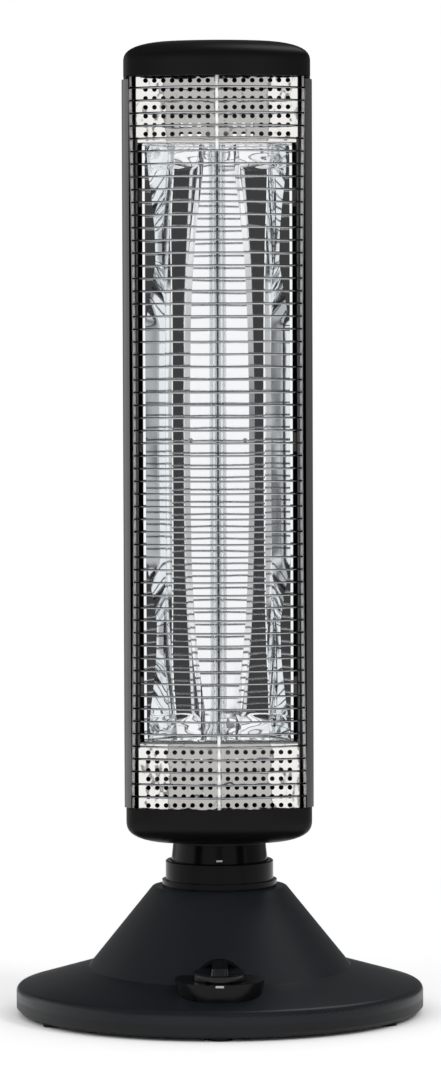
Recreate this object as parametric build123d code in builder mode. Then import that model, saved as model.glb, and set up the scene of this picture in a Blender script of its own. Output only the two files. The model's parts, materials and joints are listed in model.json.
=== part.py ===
"""Standing infrared heater: a round weighted foot with a leaning cone, a swivel neck and a tall
head with one quartz tube in a folded mirror trough behind a bowed wire guard.

The origin is on the floor under the middle of the foot, +Z is up and the heater faces -Y.
"""

import os
from math import acos, asin, atan, cos, degrees, pi, radians, sin, sqrt, tan

from build123d import *

os.makedirs("parts", exist_ok=True)

# Clearances
fit_gap = 0.1  # between pieces that are pushed or screwed together
slip_gap = 0.15  # between a journal and its bush, each side
seat_gap = 0.3  # between curved faces that lie against each other
running_gap = 0.5  # beside and under what turns
overrun = 1.0  # how far a cutting shape passes the face that it opens

# Foot: a tray and a cover that meet at a parting line halfway up the rim
foot_radius = 150.0
feet_height = 2.5
tray_height = 9.5
tray_wall = 2.5
tray_edge_chamfer = 3.0
rim_corner_height = 20.8
rim_corner_radius = 5.0
disc_slope = 16.1  # degrees from level
cover_wall = 2.5

# Cone of the foot: it leans forward, so its front runs out further than its back
cone_top_height = 94.0
cone_top_radius = 49.3
cone_shoulder_radius = 3.0
cone_front_slope = 43.2  # degrees from upright
cone_rear_slope = 35.2
cone_foot_height = 20.0
cone_wall = 2.5

# Rubber feet
foot_pad_count = 6
foot_pad_sides = 16
foot_pad_radius = 8.0
foot_pad_inset = 11.5  # from the rim to a pad's middle
foot_pad_plug_radius = 3.0
foot_pad_plug_length = 3.5

# Screws of the foot and their posts
tray_screw_count = 4
tray_post_inset = 24.0
tray_post_radius = 4.0
tray_screw_radius = 1.5
tray_screw_head_radius = 3.0
tray_screw_head_height = 1.5
tray_screw_length = 16.0

# Counterweight: a cast ring on the tray's floor
weight_inset = 34.0
weight_inner_radius = 48.0
weight_thickness = 6.0

# Dial and its moulded surround, on a plane tipped towards the front
dial_inset = 39.0  # from the rim to the dial's axis
dial_tilt = 3.0
surround_stand = 7.5  # above the sloped disc at the dial's axis
surround_half_width = 32.0
surround_half_depth = 26.0
surround_setback = 1.5
surround_draft = 7.0
surround_depth = 17.0
surround_wall = 2.5
pocket_radius = 20.2
pocket_wall = 2.0
dial_radius = 19.1
dial_skirt_height = 4.8
dial_edge_chamfer = 0.8
grip_width = 12.5
grip_length = 35.0
grip_height = 5.0
grip_taper = 8.0
grip_corner_radius = 3.0
switch_width = 22.0
switch_depth = 13.0
switch_nose_radius = 5.0
shaft_radius = 3.0
shaft_in_switch = 6.0
shaft_in_dial = 7.0

# Swivel: the neck's journal turns in a bush that the collar holds
collar_radius = 39.7
collar_rise = 19.0  # above the cone's top
collar_flange_radius = 42.3
collar_flange_height = 4.6
collar_spigot_radius = 36.5
collar_spigot_depth = 6.0
collar_mouth_radius = 36.2
collar_mouth_depth = 4.2
collar_edge_chamfer = 0.8
bush_wall = 2.0
bush_flange_thickness = 1.2
journal_radius = 32.0
neck_bore_radius = 27.0
neck_rim_radius = 35.4
neck_rim_rise = 1.0  # above the collar
neck_rise = 12.0  # above its own rim
neck_top_radius = 34.1
neck_drop = 17.0  # below the cone's top
clip_thickness = 2.0
clip_depth = 1.5
clip_radius = 36.0
collar_screw_count = 4
collar_screw_ring = 39.2
screw_sides = 8
small_screw_radius = 1.2
small_head_radius = 2.4
small_head_height = 1.6
small_screw_length = 7.0

# Swing drive: a geared motor turns a pinion, and the pinion moves a sector on the neck
gear_module = 1.0
sector_full_teeth = 84
sector_half_count = 11  # teeth on each side of the middle one
pinion_teeth = 14
pressure_angle = 25.0
addendum_share = 0.8
dedendum_share = 1.1
gear_backlash = 0.2
sector_thickness = 4.0
sector_hub_radius = 33.5
pinion_overlap = 0.5  # how far the pinion passes the sector above and below
swing_angle = 35.0
stop_ring = 36.5
stop_radius = 1.5
bracket_thickness = 1.5
bracket_radius = 57.0
bracket_front = 18.0
bracket_drop = 4.0
bracket_post_ring = 52.0
bracket_post_angle = 35.0
bracket_post_radius = 4.0
motor_radius = 24.0
motor_height = 16.0
motor_offset = 10.0
motor_shaft_radius = 2.5
gear_screw_count = 3

# Tip-over switch: a sprung plunger that the floor pushes in
tip_switch_x = -14.0
tip_switch_width = 16.0
tip_switch_length = 26.0
tip_switch_height = 18.0
plunger_radius = 4.0
plunger_lift = 0.3
plunger_travel = 4.0
plunger_flange_radius = 5.2
plunger_flange_thickness = 1.5
spring_radius = 4.6
spring_wall = 0.8

# Terminal block and cord inlet
block_width = 36.0
block_depth = 14.0
block_height = 12.0
block_y = 24.0
inlet_radius = 4.6
inlet_bore_radius = 3.3
inlet_length = 6.0

# Head outline, seen from above: a bowed front, straight sides and large rear corners
head_half_width = 67.8
head_front = 58.0
head_back = 50.0
bow_radius = 130.0
front_corner_radius = 10.0
rear_corner_radius = 28.0
cap_wall = 2.5

# Caps: each has a straight band and a domed end, and the head hangs between them
pad_sink = 0.5  # how deep the neck's end sits in the bottom cap
lower_cap_depth = 29.0
lower_crown_height = 19.0
upper_cap_depth = 28.0
upper_crown_height = 17.0
window_length = 531.5  # between the caps' open edges
crown_level_shares = (0.0, 0.6, 0.88, 1.0)  # of the crown's height
crown_outline_shares = (1.0, 0.91, 0.66, 0.36)  # of the head's outline at each level
rim_ledge_depth = 15.0  # from the tip to the ledge that the side frames stand on
rim_ledge_width = 22.0
crown_thickness = 5.0
pad_radius = 35.0
cable_hole_radius = 22.0
neck_screw_count = 4
neck_screw_ring = 29.5

# Rear shell: one bent sheet round the sides and the back
shell_thickness = 1.0
shell_stand = 1.2
shell_front_half_width = 64.0
shell_lower_gap = 0.8
shell_upper_gap = 2.0
spigot_length = 8.5
slot_length = 54.0
slot_width = 3.0
slot_pitch = 8.5
slot_rows = 12
slot_group_inset = 75.0
shell_screw_x = 30.0
shell_screw_inset = 4.0

# Side frames: two upright strips that tie the caps together and carry the rest
frame_face = 57.8
frame_thickness = 1.2
frame_front = 34.9
frame_back = 10.0
frame_tab = 12.0
tab_relief = 20.0

# Perforated plates
plate_half_width = 58.5
plate_front = 35.8
plate_thickness = 0.8
plate_tuck = 5.0
lip_height = 5.5
upper_plate_reach = 43.6  # how far the plates show between the caps
lower_plate_reach = 43.9
hole_columns = 17
hole_rows = 7
hole_pitch = 6.45
hole_radius = 1.75
hole_sides = 6
upper_holes_inset = 22.0  # from the cap's edge to the middle row
lower_holes_inset = 20.8

# Reflector: a folded mirror trough, its folds as half widths and depths from the front edge
trough_front = 30.0
fold_half_widths = (54.4, 52.6, 39.0, 34.0, 25.0, 22.4, 0.0)
fold_depths = (0.0, 0.0, 23.5, 28.5, 33.1, 34.1, 34.9)
mirror_thickness = 0.5
end_plate_thickness = 1.0
strap_height = 14.0
strap_thickness = 1.2
strap_count = 3
strap_pitch = 180.0

# Heating tube
tube_y = -12.0
tube_radius = 3.8
tube_wall = 1.0
tube_seat = 12.0
filament_radius = 0.6
filament_plug_length = 6.0
holder_width = 18.0
holder_height = 16.0
support_above_middle = 1.1
support_wire = 1.2
support_half_span = 20.0
eyelet_radius = 2.2
cutout_radius = 8.0
cutout_height = 5.0
cutout_above_middle = 120.0

# Guard: welded wires, bowed like the caps' fronts
wire_count = 57
lower_wire_margin = 8.5  # from the cap's edge to the first wire
upper_wire_margin = 7.9
wire_size = 1.5
wire_chords = 4
wire_bow_radius = 124.0
wire_corner_inset = 1.0
rod_radius = 1.4
rod_depth = 31.0
rod_half_span = 63.1
rod_waist = 2.5
rod_tuck = 7.0
rod_sides = 8
centre_rod_radius = 1.2
centre_rod_wires = 6  # how many wires each of the two short middle rods crosses
weld_gap = 0.05

# Heights and radii that follow
foot_pad_ring = foot_radius - foot_pad_inset
tray_post_ring = foot_radius - tray_post_inset
weight_outer_radius = foot_radius - weight_inset
tray_floor = feet_height + tray_wall
parting_height = feet_height + tray_height
slope_rise_share = tan(radians(disc_slope))
disc_peak = rim_corner_height + foot_radius * slope_rise_share
lining_radius = foot_radius - cover_wall
lining_peak = disc_peak - cover_wall / cos(radians(disc_slope))
lining_corner_height = lining_peak - lining_radius * slope_rise_share
dial_reach = foot_radius - dial_inset
surround_height = disc_peak - dial_reach * slope_rise_share + surround_stand
cone_roof = cone_top_height - cover_wall
cone_front_share = tan(radians(cone_front_slope))
cone_rear_share = tan(radians(cone_rear_slope))
cone_half_angle = (cone_front_slope + cone_rear_slope) / 2
cone_lean = (cone_front_slope - cone_rear_slope) / 2
cone_apex_rise = 2 * cone_top_radius / (cone_front_share + cone_rear_share)
cone_apex_y = cone_apex_rise * (cone_front_share - cone_rear_share) / 2
cone_apex_height = cone_top_height + cone_apex_rise
bush_radius = journal_radius + slip_gap + bush_wall
collar_top_height = cone_top_height + collar_rise
neck_rim_height = collar_top_height + neck_rim_rise
pad_height = neck_rim_height + neck_rise
neck_foot = cone_top_height - neck_drop
bush_seat = collar_top_height - collar_mouth_depth
bush_top = bush_seat + bush_flange_thickness
collar_foot = cone_top_height - collar_spigot_depth
sector_top = neck_foot
sector_bottom = sector_top - sector_thickness
bracket_top = sector_bottom - bracket_drop
bracket_bottom = bracket_top - bracket_thickness
sector_pitch_radius = gear_module * sector_full_teeth / 2
pinion_pitch_radius = gear_module * pinion_teeth / 2
gear_distance = sector_pitch_radius + pinion_pitch_radius
bow_centre = bow_radius - head_front
frame_outer = frame_face + frame_thickness
lower_cap_tip = pad_height - pad_sink
lower_cap_edge = lower_cap_tip + lower_cap_depth
upper_cap_edge = lower_cap_edge + window_length
upper_cap_tip = upper_cap_edge + upper_cap_depth
lower_ledge = lower_cap_tip + rim_ledge_depth
upper_ledge = upper_cap_tip - rim_ledge_depth
shell_lower_edge = lower_cap_edge + shell_lower_gap
shell_upper_edge = upper_cap_edge - shell_upper_gap
upper_plate_edge = upper_cap_edge - upper_plate_reach
lower_plate_edge = lower_cap_edge + lower_plate_reach
trough_upper = upper_plate_edge - lip_height + fit_gap
trough_lower = lower_plate_edge + lip_height - fit_gap
trough_middle = (trough_lower + trough_upper) / 2
support_height = trough_middle + support_above_middle
wire_lowest = lower_cap_edge + lower_wire_margin
wire_highest = upper_cap_edge - upper_wire_margin
trough_back = fold_depths[-1] - trough_front

dial_plane = Plane(
    origin=(0, -dial_reach, surround_height),
    x_dir=(1, 0, 0),
    z_dir=(0, -sin(radians(dial_tilt)), cos(radians(dial_tilt))),
)


def head_outline(half_width=head_half_width):
    """The head seen from above, as a flat face with its corners rounded."""
    side_y = bow_centre - sqrt(bow_radius**2 - half_width**2)
    with BuildSketch() as outline:
        with BuildLine():
            ThreePointArc((-half_width, side_y), (0, -head_front), (half_width, side_y))
            Polyline(
                (half_width, side_y),
                (half_width, head_back),
                (-half_width, head_back),
                (-half_width, side_y),
            )
        make_face()
        fillet(outline.vertices().group_by(Axis.Y)[0], front_corner_radius)
        fillet(outline.vertices().group_by(Axis.Y)[-1], rear_corner_radius)
    return outline.sketch


def cap_body(edge, tip, crown_height):
    """A cap: a straight band, then a crown lofted through ever smaller copies of its outline."""
    way = 1 if tip > edge else -1
    shoulder = tip - way * crown_height
    with BuildPart() as body:
        with BuildSketch(Plane.XY.offset(edge)):
            add(head_outline())
        extrude(amount=shoulder - edge)
        for level_share, outline_share in zip(crown_level_shares, crown_outline_shares):
            with BuildSketch(Plane.XY.offset(shoulder + way * level_share * crown_height)):
                scale(head_outline(), by=outline_share)
        loft(ruled=True)
        hollow_depth = abs(tip - edge) - rim_ledge_depth
        with BuildSketch(Plane.XY.offset(edge)):
            offset(head_outline(), amount=-cap_wall)
        extrude(amount=way * hollow_depth, mode=Mode.SUBTRACT)
        with BuildSketch(Plane.XY.offset(edge)):
            offset(head_outline(), amount=-cap_wall - rim_ledge_width, kind=Kind.INTERSECTION)
        extrude(amount=way * (abs(tip - edge) - crown_thickness), mode=Mode.SUBTRACT)
    return body.part


def spigot_ring():
    """The caps' inner lip, open at the front, which the rear shell slides over."""
    with BuildSketch() as ring:
        offset(head_outline(), amount=shell_stand - shell_thickness - seat_gap)
        offset(head_outline(), amount=-cap_wall, mode=Mode.SUBTRACT)
        with Locations((0, -head_front)):
            Rectangle(2 * head_half_width, head_front + rod_depth, mode=Mode.SUBTRACT)
    return ring.sketch


def involute_point(base_radius, radius, start_angle):
    """A point of a tooth's flank at the radius, its angle counted from the tooth's middle."""
    turn = acos(min(1, base_radius / radius))
    angle = start_angle - (tan(turn) - turn)
    return radius, angle


def tooth_corners(teeth):
    """Radius and half angle of a tooth's root and tip corners."""
    pitch_radius = gear_module * teeth / 2
    base_radius = pitch_radius * cos(radians(pressure_angle))
    root_radius = pitch_radius - dedendum_share * gear_module
    tip_radius = pitch_radius + addendum_share * gear_module
    pressure = radians(pressure_angle)
    half_tooth = (pi * gear_module / 2 - gear_backlash) / 2 / pitch_radius
    start_angle = half_tooth + tan(pressure) - pressure
    foot = involute_point(base_radius, max(base_radius, root_radius), start_angle)
    tip = involute_point(base_radius, tip_radius, start_angle)
    return (root_radius, foot[1]), tip


def polar_point(radius, angle):
    """A flat point at an angle in radians."""
    return radius * cos(angle), radius * sin(angle)


def leaning_cone(inset, roof):
    """The foot's cone, turned about an axis that leans forward, up to a level roof."""
    lean = radians(cone_lean)
    apex_height = cone_apex_height - inset / sin(radians(cone_half_angle))
    axis_plane = Plane(
        origin=(0, cone_apex_y, apex_height), x_dir=(1, 0, 0), z_dir=(0, -cos(lean), sin(lean))
    )
    length = apex_height - cone_foot_height
    with BuildPart() as cone:
        with BuildSketch(axis_plane):
            Polygon(
                (0, 0),
                (0, -length),
                (length * tan(radians(cone_half_angle)), -length),
                align=None,
            )
        revolve(axis=Axis((0, cone_apex_y, apex_height), (0, -sin(lean), -cos(lean))))
        with BuildSketch(Plane.XY.offset(roof)):
            Circle(foot_radius)
        extrude(amount=length, mode=Mode.SUBTRACT)
    return cone.part


# Outer form of the foot's cover: a sloped disc and a cone
with BuildPart() as foot_form:
    with BuildSketch(Plane.XZ) as disc_profile:
        Polygon(
            (0, parting_height),
            (foot_radius, parting_height),
            (foot_radius, rim_corner_height),
            (0, disc_peak),
            align=None,
        )
        rim_corner = disc_profile.vertices().sort_by(Axis.X)[-2:].sort_by(Axis.Y)[-1]
        fillet(rim_corner, rim_corner_radius)
    revolve(axis=Axis.Z)
    add(leaning_cone(0, cone_top_height))
    fillet(foot_form.edges().group_by(Axis.Z)[-1], cone_shoulder_radius)

# Hollow of the cover, with the screw posts and the bracket's posts left standing
bracket_post_places = [
    polar_point(bracket_post_ring, radians(angle))
    for angle in (bracket_post_angle, 180 - bracket_post_angle)
]
with BuildPart() as foot_hollow:
    with BuildSketch(Plane.XZ):
        Polygon(
            (0, parting_height - overrun),
            (lining_radius, parting_height - overrun),
            (lining_radius, lining_corner_height),
            (0, lining_peak),
            align=None,
        )
    revolve(axis=Axis.Z)
    add(leaning_cone(cone_wall, cone_roof))
    with BuildSketch(Plane.XY.offset(parting_height - overrun)):
        with PolarLocations(tray_post_ring, tray_screw_count, start_angle=45):
            RegularPolygon(tray_post_radius, screw_sides)
    extrude(amount=disc_peak, mode=Mode.SUBTRACT)
    with BuildSketch(Plane.XY.offset(bracket_top)):
        with Locations(*bracket_post_places):
            RegularPolygon(bracket_post_radius, screw_sides)
    extrude(amount=disc_peak, mode=Mode.SUBTRACT)


def surround_oval(inset=0.0):
    """The dial surround's outline: an oval of four arcs."""
    with BuildSketch() as oval:
        with Locations((0, surround_setback)):
            SlotCenterToCenter(
                2 * (surround_half_width - surround_half_depth), 2 * surround_half_depth
            )
        if inset:
            offset(amount=-inset)
    return oval.sketch


def surround_body(grow=0.0):
    """The dial surround's outside, drawn in a little towards its foot."""
    with BuildPart() as body:
        with BuildSketch(dial_plane.offset(grow)):
            add(surround_oval(-grow))
        extrude(amount=-surround_depth - grow, taper=surround_draft)
    return body.part


with BuildPart() as foot_cover:
    add(foot_form.part)
    add(foot_hollow.part, mode=Mode.SUBTRACT)
    with BuildSketch(Plane.XY.offset(cone_roof - overrun)):
        Circle(collar_spigot_radius + fit_gap)
    extrude(amount=cover_wall + 2 * overrun, mode=Mode.SUBTRACT)
    with BuildSketch(Plane.XY.offset(cone_roof - overrun)):
        with PolarLocations(collar_screw_ring, collar_screw_count):
            RegularPolygon(small_screw_radius + fit_gap, screw_sides)
    extrude(amount=cover_wall + 2 * overrun, mode=Mode.SUBTRACT)
    add(surround_body(fit_gap), mode=Mode.SUBTRACT)
    with BuildSketch(dial_plane):
        Circle(pocket_radius + pocket_wall + fit_gap)
    extrude(amount=surround_depth, mode=Mode.SUBTRACT)
    with BuildSketch(Plane.XY.offset(parting_height - overrun)):
        with PolarLocations(tray_post_ring, tray_screw_count, start_angle=45):
            RegularPolygon(tray_screw_radius + fit_gap, screw_sides)
    extrude(amount=tray_screw_length - tray_height + overrun, mode=Mode.SUBTRACT)
    with BuildSketch(Plane.XY.offset(bracket_top - overrun)):
        with Locations(*bracket_post_places):
            RegularPolygon(small_screw_radius + fit_gap, screw_sides)
    extrude(amount=small_screw_length + overrun, mode=Mode.SUBTRACT)
    with BuildSketch(Plane.XZ.offset(-lining_radius + overrun)):
        with Locations((0, parting_height)):
            Circle(inlet_radius + fit_gap)
    extrude(amount=-cover_wall - 2 * overrun, mode=Mode.SUBTRACT)

with BuildPart() as foot_tray:
    with BuildSketch(Plane.XZ):
        Polygon(
            (0, feet_height),
            (foot_radius, feet_height),
            (foot_radius, parting_height),
            (lining_radius, parting_height),
            (lining_radius, tray_floor),
            (0, tray_floor),
            align=None,
        )
    revolve(axis=Axis.Z)
    lower_rim = foot_tray.edges().filter_by(GeomType.CIRCLE).group_by(Axis.Z)[0]
    chamfer(lower_rim, tray_edge_chamfer)
    with BuildSketch(Plane.XY.offset(tray_floor)):
        with PolarLocations(tray_post_ring, tray_screw_count, start_angle=45):
            RegularPolygon(tray_post_radius, screw_sides)
    extrude(amount=parting_height - tray_floor)
    with BuildSketch(Plane.XY.offset(feet_height)):
        with PolarLocations(tray_post_ring, tray_screw_count, start_angle=45):
            RegularPolygon(tray_screw_head_radius + fit_gap, screw_sides)
    extrude(amount=tray_screw_head_height + fit_gap, mode=Mode.SUBTRACT)
    with BuildSketch(Plane.XY.offset(feet_height)):
        with PolarLocations(tray_post_ring, tray_screw_count, start_angle=45):
            RegularPolygon(tray_screw_radius + fit_gap, screw_sides)
        with PolarLocations(foot_pad_ring, foot_pad_count, start_angle=-90):
            RegularPolygon(foot_pad_plug_radius + fit_gap, screw_sides)
        with Locations((tip_switch_x, 0)):
            Circle(plunger_radius + seat_gap)
    extrude(amount=tray_height, mode=Mode.SUBTRACT)
    with BuildSketch(Plane.XZ.offset(-lining_radius + overrun)):
        with Locations((0, parting_height)):
            Circle(inlet_radius + fit_gap)
    extrude(amount=-tray_wall - 2 * overrun, mode=Mode.SUBTRACT)

with BuildPart() as counterweight:
    with BuildSketch(Plane.XY.offset(tray_floor)):
        Circle(weight_outer_radius)
        Circle(weight_inner_radius, mode=Mode.SUBTRACT)
    extrude(amount=weight_thickness)

with BuildPart() as rubber_feet:
    with BuildSketch():
        with PolarLocations(foot_pad_ring, foot_pad_count, start_angle=-90):
            RegularPolygon(foot_pad_radius, foot_pad_sides)
    extrude(amount=feet_height)
    with BuildSketch(Plane.XY.offset(feet_height)):
        with PolarLocations(foot_pad_ring, foot_pad_count, start_angle=-90):
            RegularPolygon(foot_pad_plug_radius, screw_sides)
    extrude(amount=foot_pad_plug_length)

with BuildPart() as tray_screws:
    with BuildSketch(Plane.XY.offset(feet_height)):
        with PolarLocations(tray_post_ring, tray_screw_count, start_angle=45):
            RegularPolygon(tray_screw_head_radius, screw_sides)
    extrude(amount=tray_screw_head_height)
    with BuildSketch(Plane.XY.offset(feet_height + tray_screw_head_height)):
        with PolarLocations(tray_post_ring, tray_screw_count, start_angle=45):
            RegularPolygon(tray_screw_radius, screw_sides)
    extrude(amount=tray_screw_length - tray_screw_head_height - overrun)

# Crescent behind the dial, trimmed to the cone that it lines
with BuildPart() as pocket_lining:
    with BuildSketch(dial_plane.offset(-surround_wall)):
        Circle(pocket_radius + pocket_wall)
        Circle(pocket_radius, mode=Mode.SUBTRACT)
    extrude(amount=surround_depth)
    add(foot_form.part, mode=Mode.INTERSECT)

with BuildPart() as dial_surround:
    add(surround_body())
    with BuildSketch(dial_plane.offset(-surround_wall)):
        add(surround_oval(surround_wall + surround_depth * tan(radians(surround_draft))))
    extrude(amount=-surround_depth, mode=Mode.SUBTRACT)
    add(pocket_lining.part)
    with BuildSketch(dial_plane.offset(overrun)):
        Circle(switch_nose_radius + fit_gap)
    extrude(amount=-surround_wall - 2 * overrun, mode=Mode.SUBTRACT)

with BuildPart() as rotary_switch:
    with BuildSketch(dial_plane.offset(-surround_wall)):
        Rectangle(switch_width, switch_width)
    extrude(amount=-switch_depth)
    with BuildSketch(dial_plane.offset(-surround_wall)):
        Circle(switch_nose_radius)
    extrude(amount=surround_wall)
    with BuildSketch(dial_plane):
        Circle(shaft_radius + slip_gap)
    extrude(amount=-surround_wall - shaft_in_switch - fit_gap, mode=Mode.SUBTRACT)

with BuildPart() as switch_shaft:
    with BuildSketch(dial_plane.offset(-surround_wall - shaft_in_switch)):
        Circle(shaft_radius)
    extrude(amount=surround_wall + shaft_in_switch + running_gap + shaft_in_dial)

with BuildPart() as control_dial:
    with BuildSketch(dial_plane.offset(running_gap)):
        Circle(dial_radius)
    extrude(amount=dial_skirt_height)
    chamfer(control_dial.edges().filter_by(GeomType.CIRCLE).sort_by(Axis.Z)[-1], dial_edge_chamfer)
    with BuildSketch(dial_plane.offset(running_gap + dial_skirt_height)):
        RectangleRounded(grip_width, grip_length, grip_corner_radius)
    extrude(amount=grip_height, taper=grip_taper)
    with BuildSketch(dial_plane.offset(running_gap)):
        Circle(shaft_radius + fit_gap)
    extrude(amount=shaft_in_dial + fit_gap, mode=Mode.SUBTRACT)

with BuildPart() as collar:
    with BuildSketch(Plane.XZ):
        Polygon(
            (bush_radius + fit_gap, collar_foot),
            (collar_spigot_radius, collar_foot),
            (collar_spigot_radius, cone_top_height),
            (collar_flange_radius, cone_top_height),
            (collar_flange_radius, cone_top_height + collar_flange_height),
            (collar_radius, cone_top_height + collar_flange_height),
            (collar_radius, collar_top_height),
            (collar_mouth_radius, collar_top_height),
            (collar_mouth_radius, bush_seat),
            (bush_radius + fit_gap, bush_seat),
            align=None,
        )
    revolve(axis=Axis.Z)
    top_edge = collar.edges().group_by(Axis.Z)[-1].sort_by(SortBy.LENGTH)[-1]
    chamfer(top_edge, collar_edge_chamfer)
    with BuildSketch(Plane.XY.offset(cone_top_height)):
        with PolarLocations(collar_screw_ring, collar_screw_count):
            RegularPolygon(small_screw_radius + fit_gap, screw_sides)
    extrude(amount=small_screw_length - cover_wall, mode=Mode.SUBTRACT)

with BuildPart() as swivel_bush:
    with BuildSketch(Plane.XZ):
        Polygon(
            (journal_radius + slip_gap, collar_foot),
            (bush_radius, collar_foot),
            (bush_radius, bush_seat),
            (collar_mouth_radius - fit_gap, bush_seat),
            (collar_mouth_radius - fit_gap, bush_top),
            (journal_radius + slip_gap, bush_top),
            align=None,
        )
    revolve(axis=Axis.Z)

with BuildPart() as collar_screws:
    with BuildSketch(Plane.XY.offset(cone_roof - small_head_height)):
        with PolarLocations(collar_screw_ring, collar_screw_count):
            RegularPolygon(small_head_radius, screw_sides)
    extrude(amount=small_head_height)
    with BuildSketch(Plane.XY.offset(cone_roof)):
        with PolarLocations(collar_screw_ring, collar_screw_count):
            RegularPolygon(small_screw_radius, screw_sides)
    extrude(amount=small_screw_length - fit_gap)

# Neck: a tapered sleeve with a journal below it and a groove for the retaining clip
clip_top = collar_foot - running_gap
with BuildPart() as neck:
    with BuildSketch(Plane.XZ):
        Polygon(
            (neck_bore_radius, neck_foot),
            (journal_radius, neck_foot),
            (journal_radius, clip_top - clip_thickness - fit_gap),
            (journal_radius - clip_depth, clip_top - clip_thickness - fit_gap),
            (journal_radius - clip_depth, clip_top + fit_gap),
            (journal_radius, clip_top + fit_gap),
            (journal_radius, bush_top + fit_gap),
            (neck_rim_radius, bush_top + fit_gap),
            (neck_rim_radius, neck_rim_height),
            (neck_top_radius, pad_height),
            (neck_bore_radius, pad_height),
            align=None,
        )
    revolve(axis=Axis.Z)
    with BuildSketch(Plane.XY.offset(pad_height)):
        with PolarLocations(neck_screw_ring, neck_screw_count, start_angle=45):
            RegularPolygon(small_screw_radius + fit_gap, screw_sides)
    extrude(amount=-small_screw_length, mode=Mode.SUBTRACT)
    with BuildSketch(Plane.XY.offset(neck_foot)):
        with PolarLocations(neck_screw_ring, gear_screw_count):
            RegularPolygon(small_screw_radius + fit_gap, screw_sides)
    extrude(amount=small_screw_length, mode=Mode.SUBTRACT)

with BuildPart() as retaining_clip:
    with BuildSketch(Plane.XY.offset(clip_top - clip_thickness)):
        Circle(clip_radius)
        Circle(journal_radius - clip_depth + fit_gap, mode=Mode.SUBTRACT)
        with Locations((0, -clip_radius)):
            Rectangle(clip_radius / 2, clip_radius, mode=Mode.SUBTRACT)
    extrude(amount=clip_thickness)

# Sector gear: its teeth are centred on the pinion at rest, and a slot rides on the stop pin
sector_root, sector_tip = tooth_corners(sector_full_teeth)
sector_step = 2 * pi / sector_full_teeth
sector_edge_points = []
for tooth in range(-sector_half_count, sector_half_count + 1):
    middle = pi / 2 + tooth * sector_step
    sector_edge_points.append(polar_point(sector_root[0], middle - sector_root[1]))
    sector_edge_points.append(polar_point(sector_tip[0], middle - sector_tip[1]))
    sector_edge_points.append(polar_point(sector_tip[0], middle + sector_tip[1]))
    sector_edge_points.append(polar_point(sector_root[0], middle + sector_root[1]))
slot_half_angle = swing_angle + degrees(atan(running_gap / stop_ring))
with BuildPart() as sector_gear:
    with BuildSketch(Plane.XY.offset(sector_bottom)):
        Circle(sector_hub_radius)
        Polygon((0, 0), *sector_edge_points, align=None)
        Circle(neck_bore_radius, mode=Mode.SUBTRACT)
        stop_path = CenterArc((0, 0), stop_ring, 90 - slot_half_angle, 2 * slot_half_angle)
        SlotArc(stop_path, 2 * (stop_radius + seat_gap), mode=Mode.SUBTRACT)
        with PolarLocations(neck_screw_ring, gear_screw_count):
            RegularPolygon(small_screw_radius + fit_gap, screw_sides, mode=Mode.SUBTRACT)
    extrude(amount=sector_thickness)

with BuildPart() as gear_screws:
    with BuildSketch(Plane.XY.offset(sector_bottom)):
        with PolarLocations(neck_screw_ring, gear_screw_count):
            RegularPolygon(small_head_radius, screw_sides)
    extrude(amount=-small_head_height)
    with BuildSketch(Plane.XY.offset(sector_bottom)):
        with PolarLocations(neck_screw_ring, gear_screw_count):
            RegularPolygon(small_screw_radius, screw_sides)
    extrude(amount=sector_thickness + small_screw_length - 2 * overrun)

# Pinion: a gap between two teeth faces the sector's middle tooth
pinion_root, pinion_tip = tooth_corners(pinion_teeth)
pinion_step = 2 * pi / pinion_teeth
pinion_edge_points = []
for tooth in range(pinion_teeth):
    middle = -pi / 2 + (tooth + 0.5) * pinion_step
    pinion_edge_points.append(polar_point(pinion_root[0], middle - pinion_root[1]))
    pinion_edge_points.append(polar_point(pinion_tip[0], middle - pinion_tip[1]))
    pinion_edge_points.append(polar_point(pinion_tip[0], middle + pinion_tip[1]))
    pinion_edge_points.append(polar_point(pinion_root[0], middle + pinion_root[1]))
shaft_bottom = bracket_bottom - motor_height / 2
with BuildPart() as drive_pinion:
    with BuildSketch(Plane.XY.offset(sector_bottom - pinion_overlap)):
        with Locations((0, gear_distance)):
            Polygon(*pinion_edge_points, align=None)
    extrude(amount=sector_thickness + 2 * pinion_overlap)
    with BuildSketch(Plane.XY.offset(shaft_bottom)):
        with Locations((0, gear_distance)):
            Circle(motor_shaft_radius)
    extrude(amount=sector_bottom - shaft_bottom)

with BuildPart() as motor_bracket:
    with BuildSketch(Plane.XY.offset(bracket_bottom)):
        Circle(bracket_radius)
        with Locations((0, bracket_front - bracket_radius)):
            Rectangle(2 * bracket_radius, 2 * bracket_radius, mode=Mode.SUBTRACT)
        with Locations((0, gear_distance)):
            Circle(motor_shaft_radius + seat_gap, mode=Mode.SUBTRACT)
        with Locations(*bracket_post_places):
            RegularPolygon(small_screw_radius + fit_gap, screw_sides, mode=Mode.SUBTRACT)
        with Locations((0, stop_ring)):
            Circle(stop_radius, mode=Mode.SUBTRACT)
    extrude(amount=bracket_thickness)

with BuildPart() as bracket_screws:
    with BuildSketch(Plane.XY.offset(bracket_bottom)):
        with Locations(*bracket_post_places):
            RegularPolygon(small_head_radius, screw_sides)
    extrude(amount=-small_head_height)
    with BuildSketch(Plane.XY.offset(bracket_bottom)):
        with Locations(*bracket_post_places):
            RegularPolygon(small_screw_radius, screw_sides)
    extrude(amount=bracket_thickness + small_screw_length - overrun)

with BuildPart() as stop_pin:
    with BuildSketch(Plane.XY.offset(bracket_bottom)):
        with Locations((0, stop_ring)):
            Circle(stop_radius - fit_gap)
    extrude(amount=sector_top - bracket_bottom)

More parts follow.
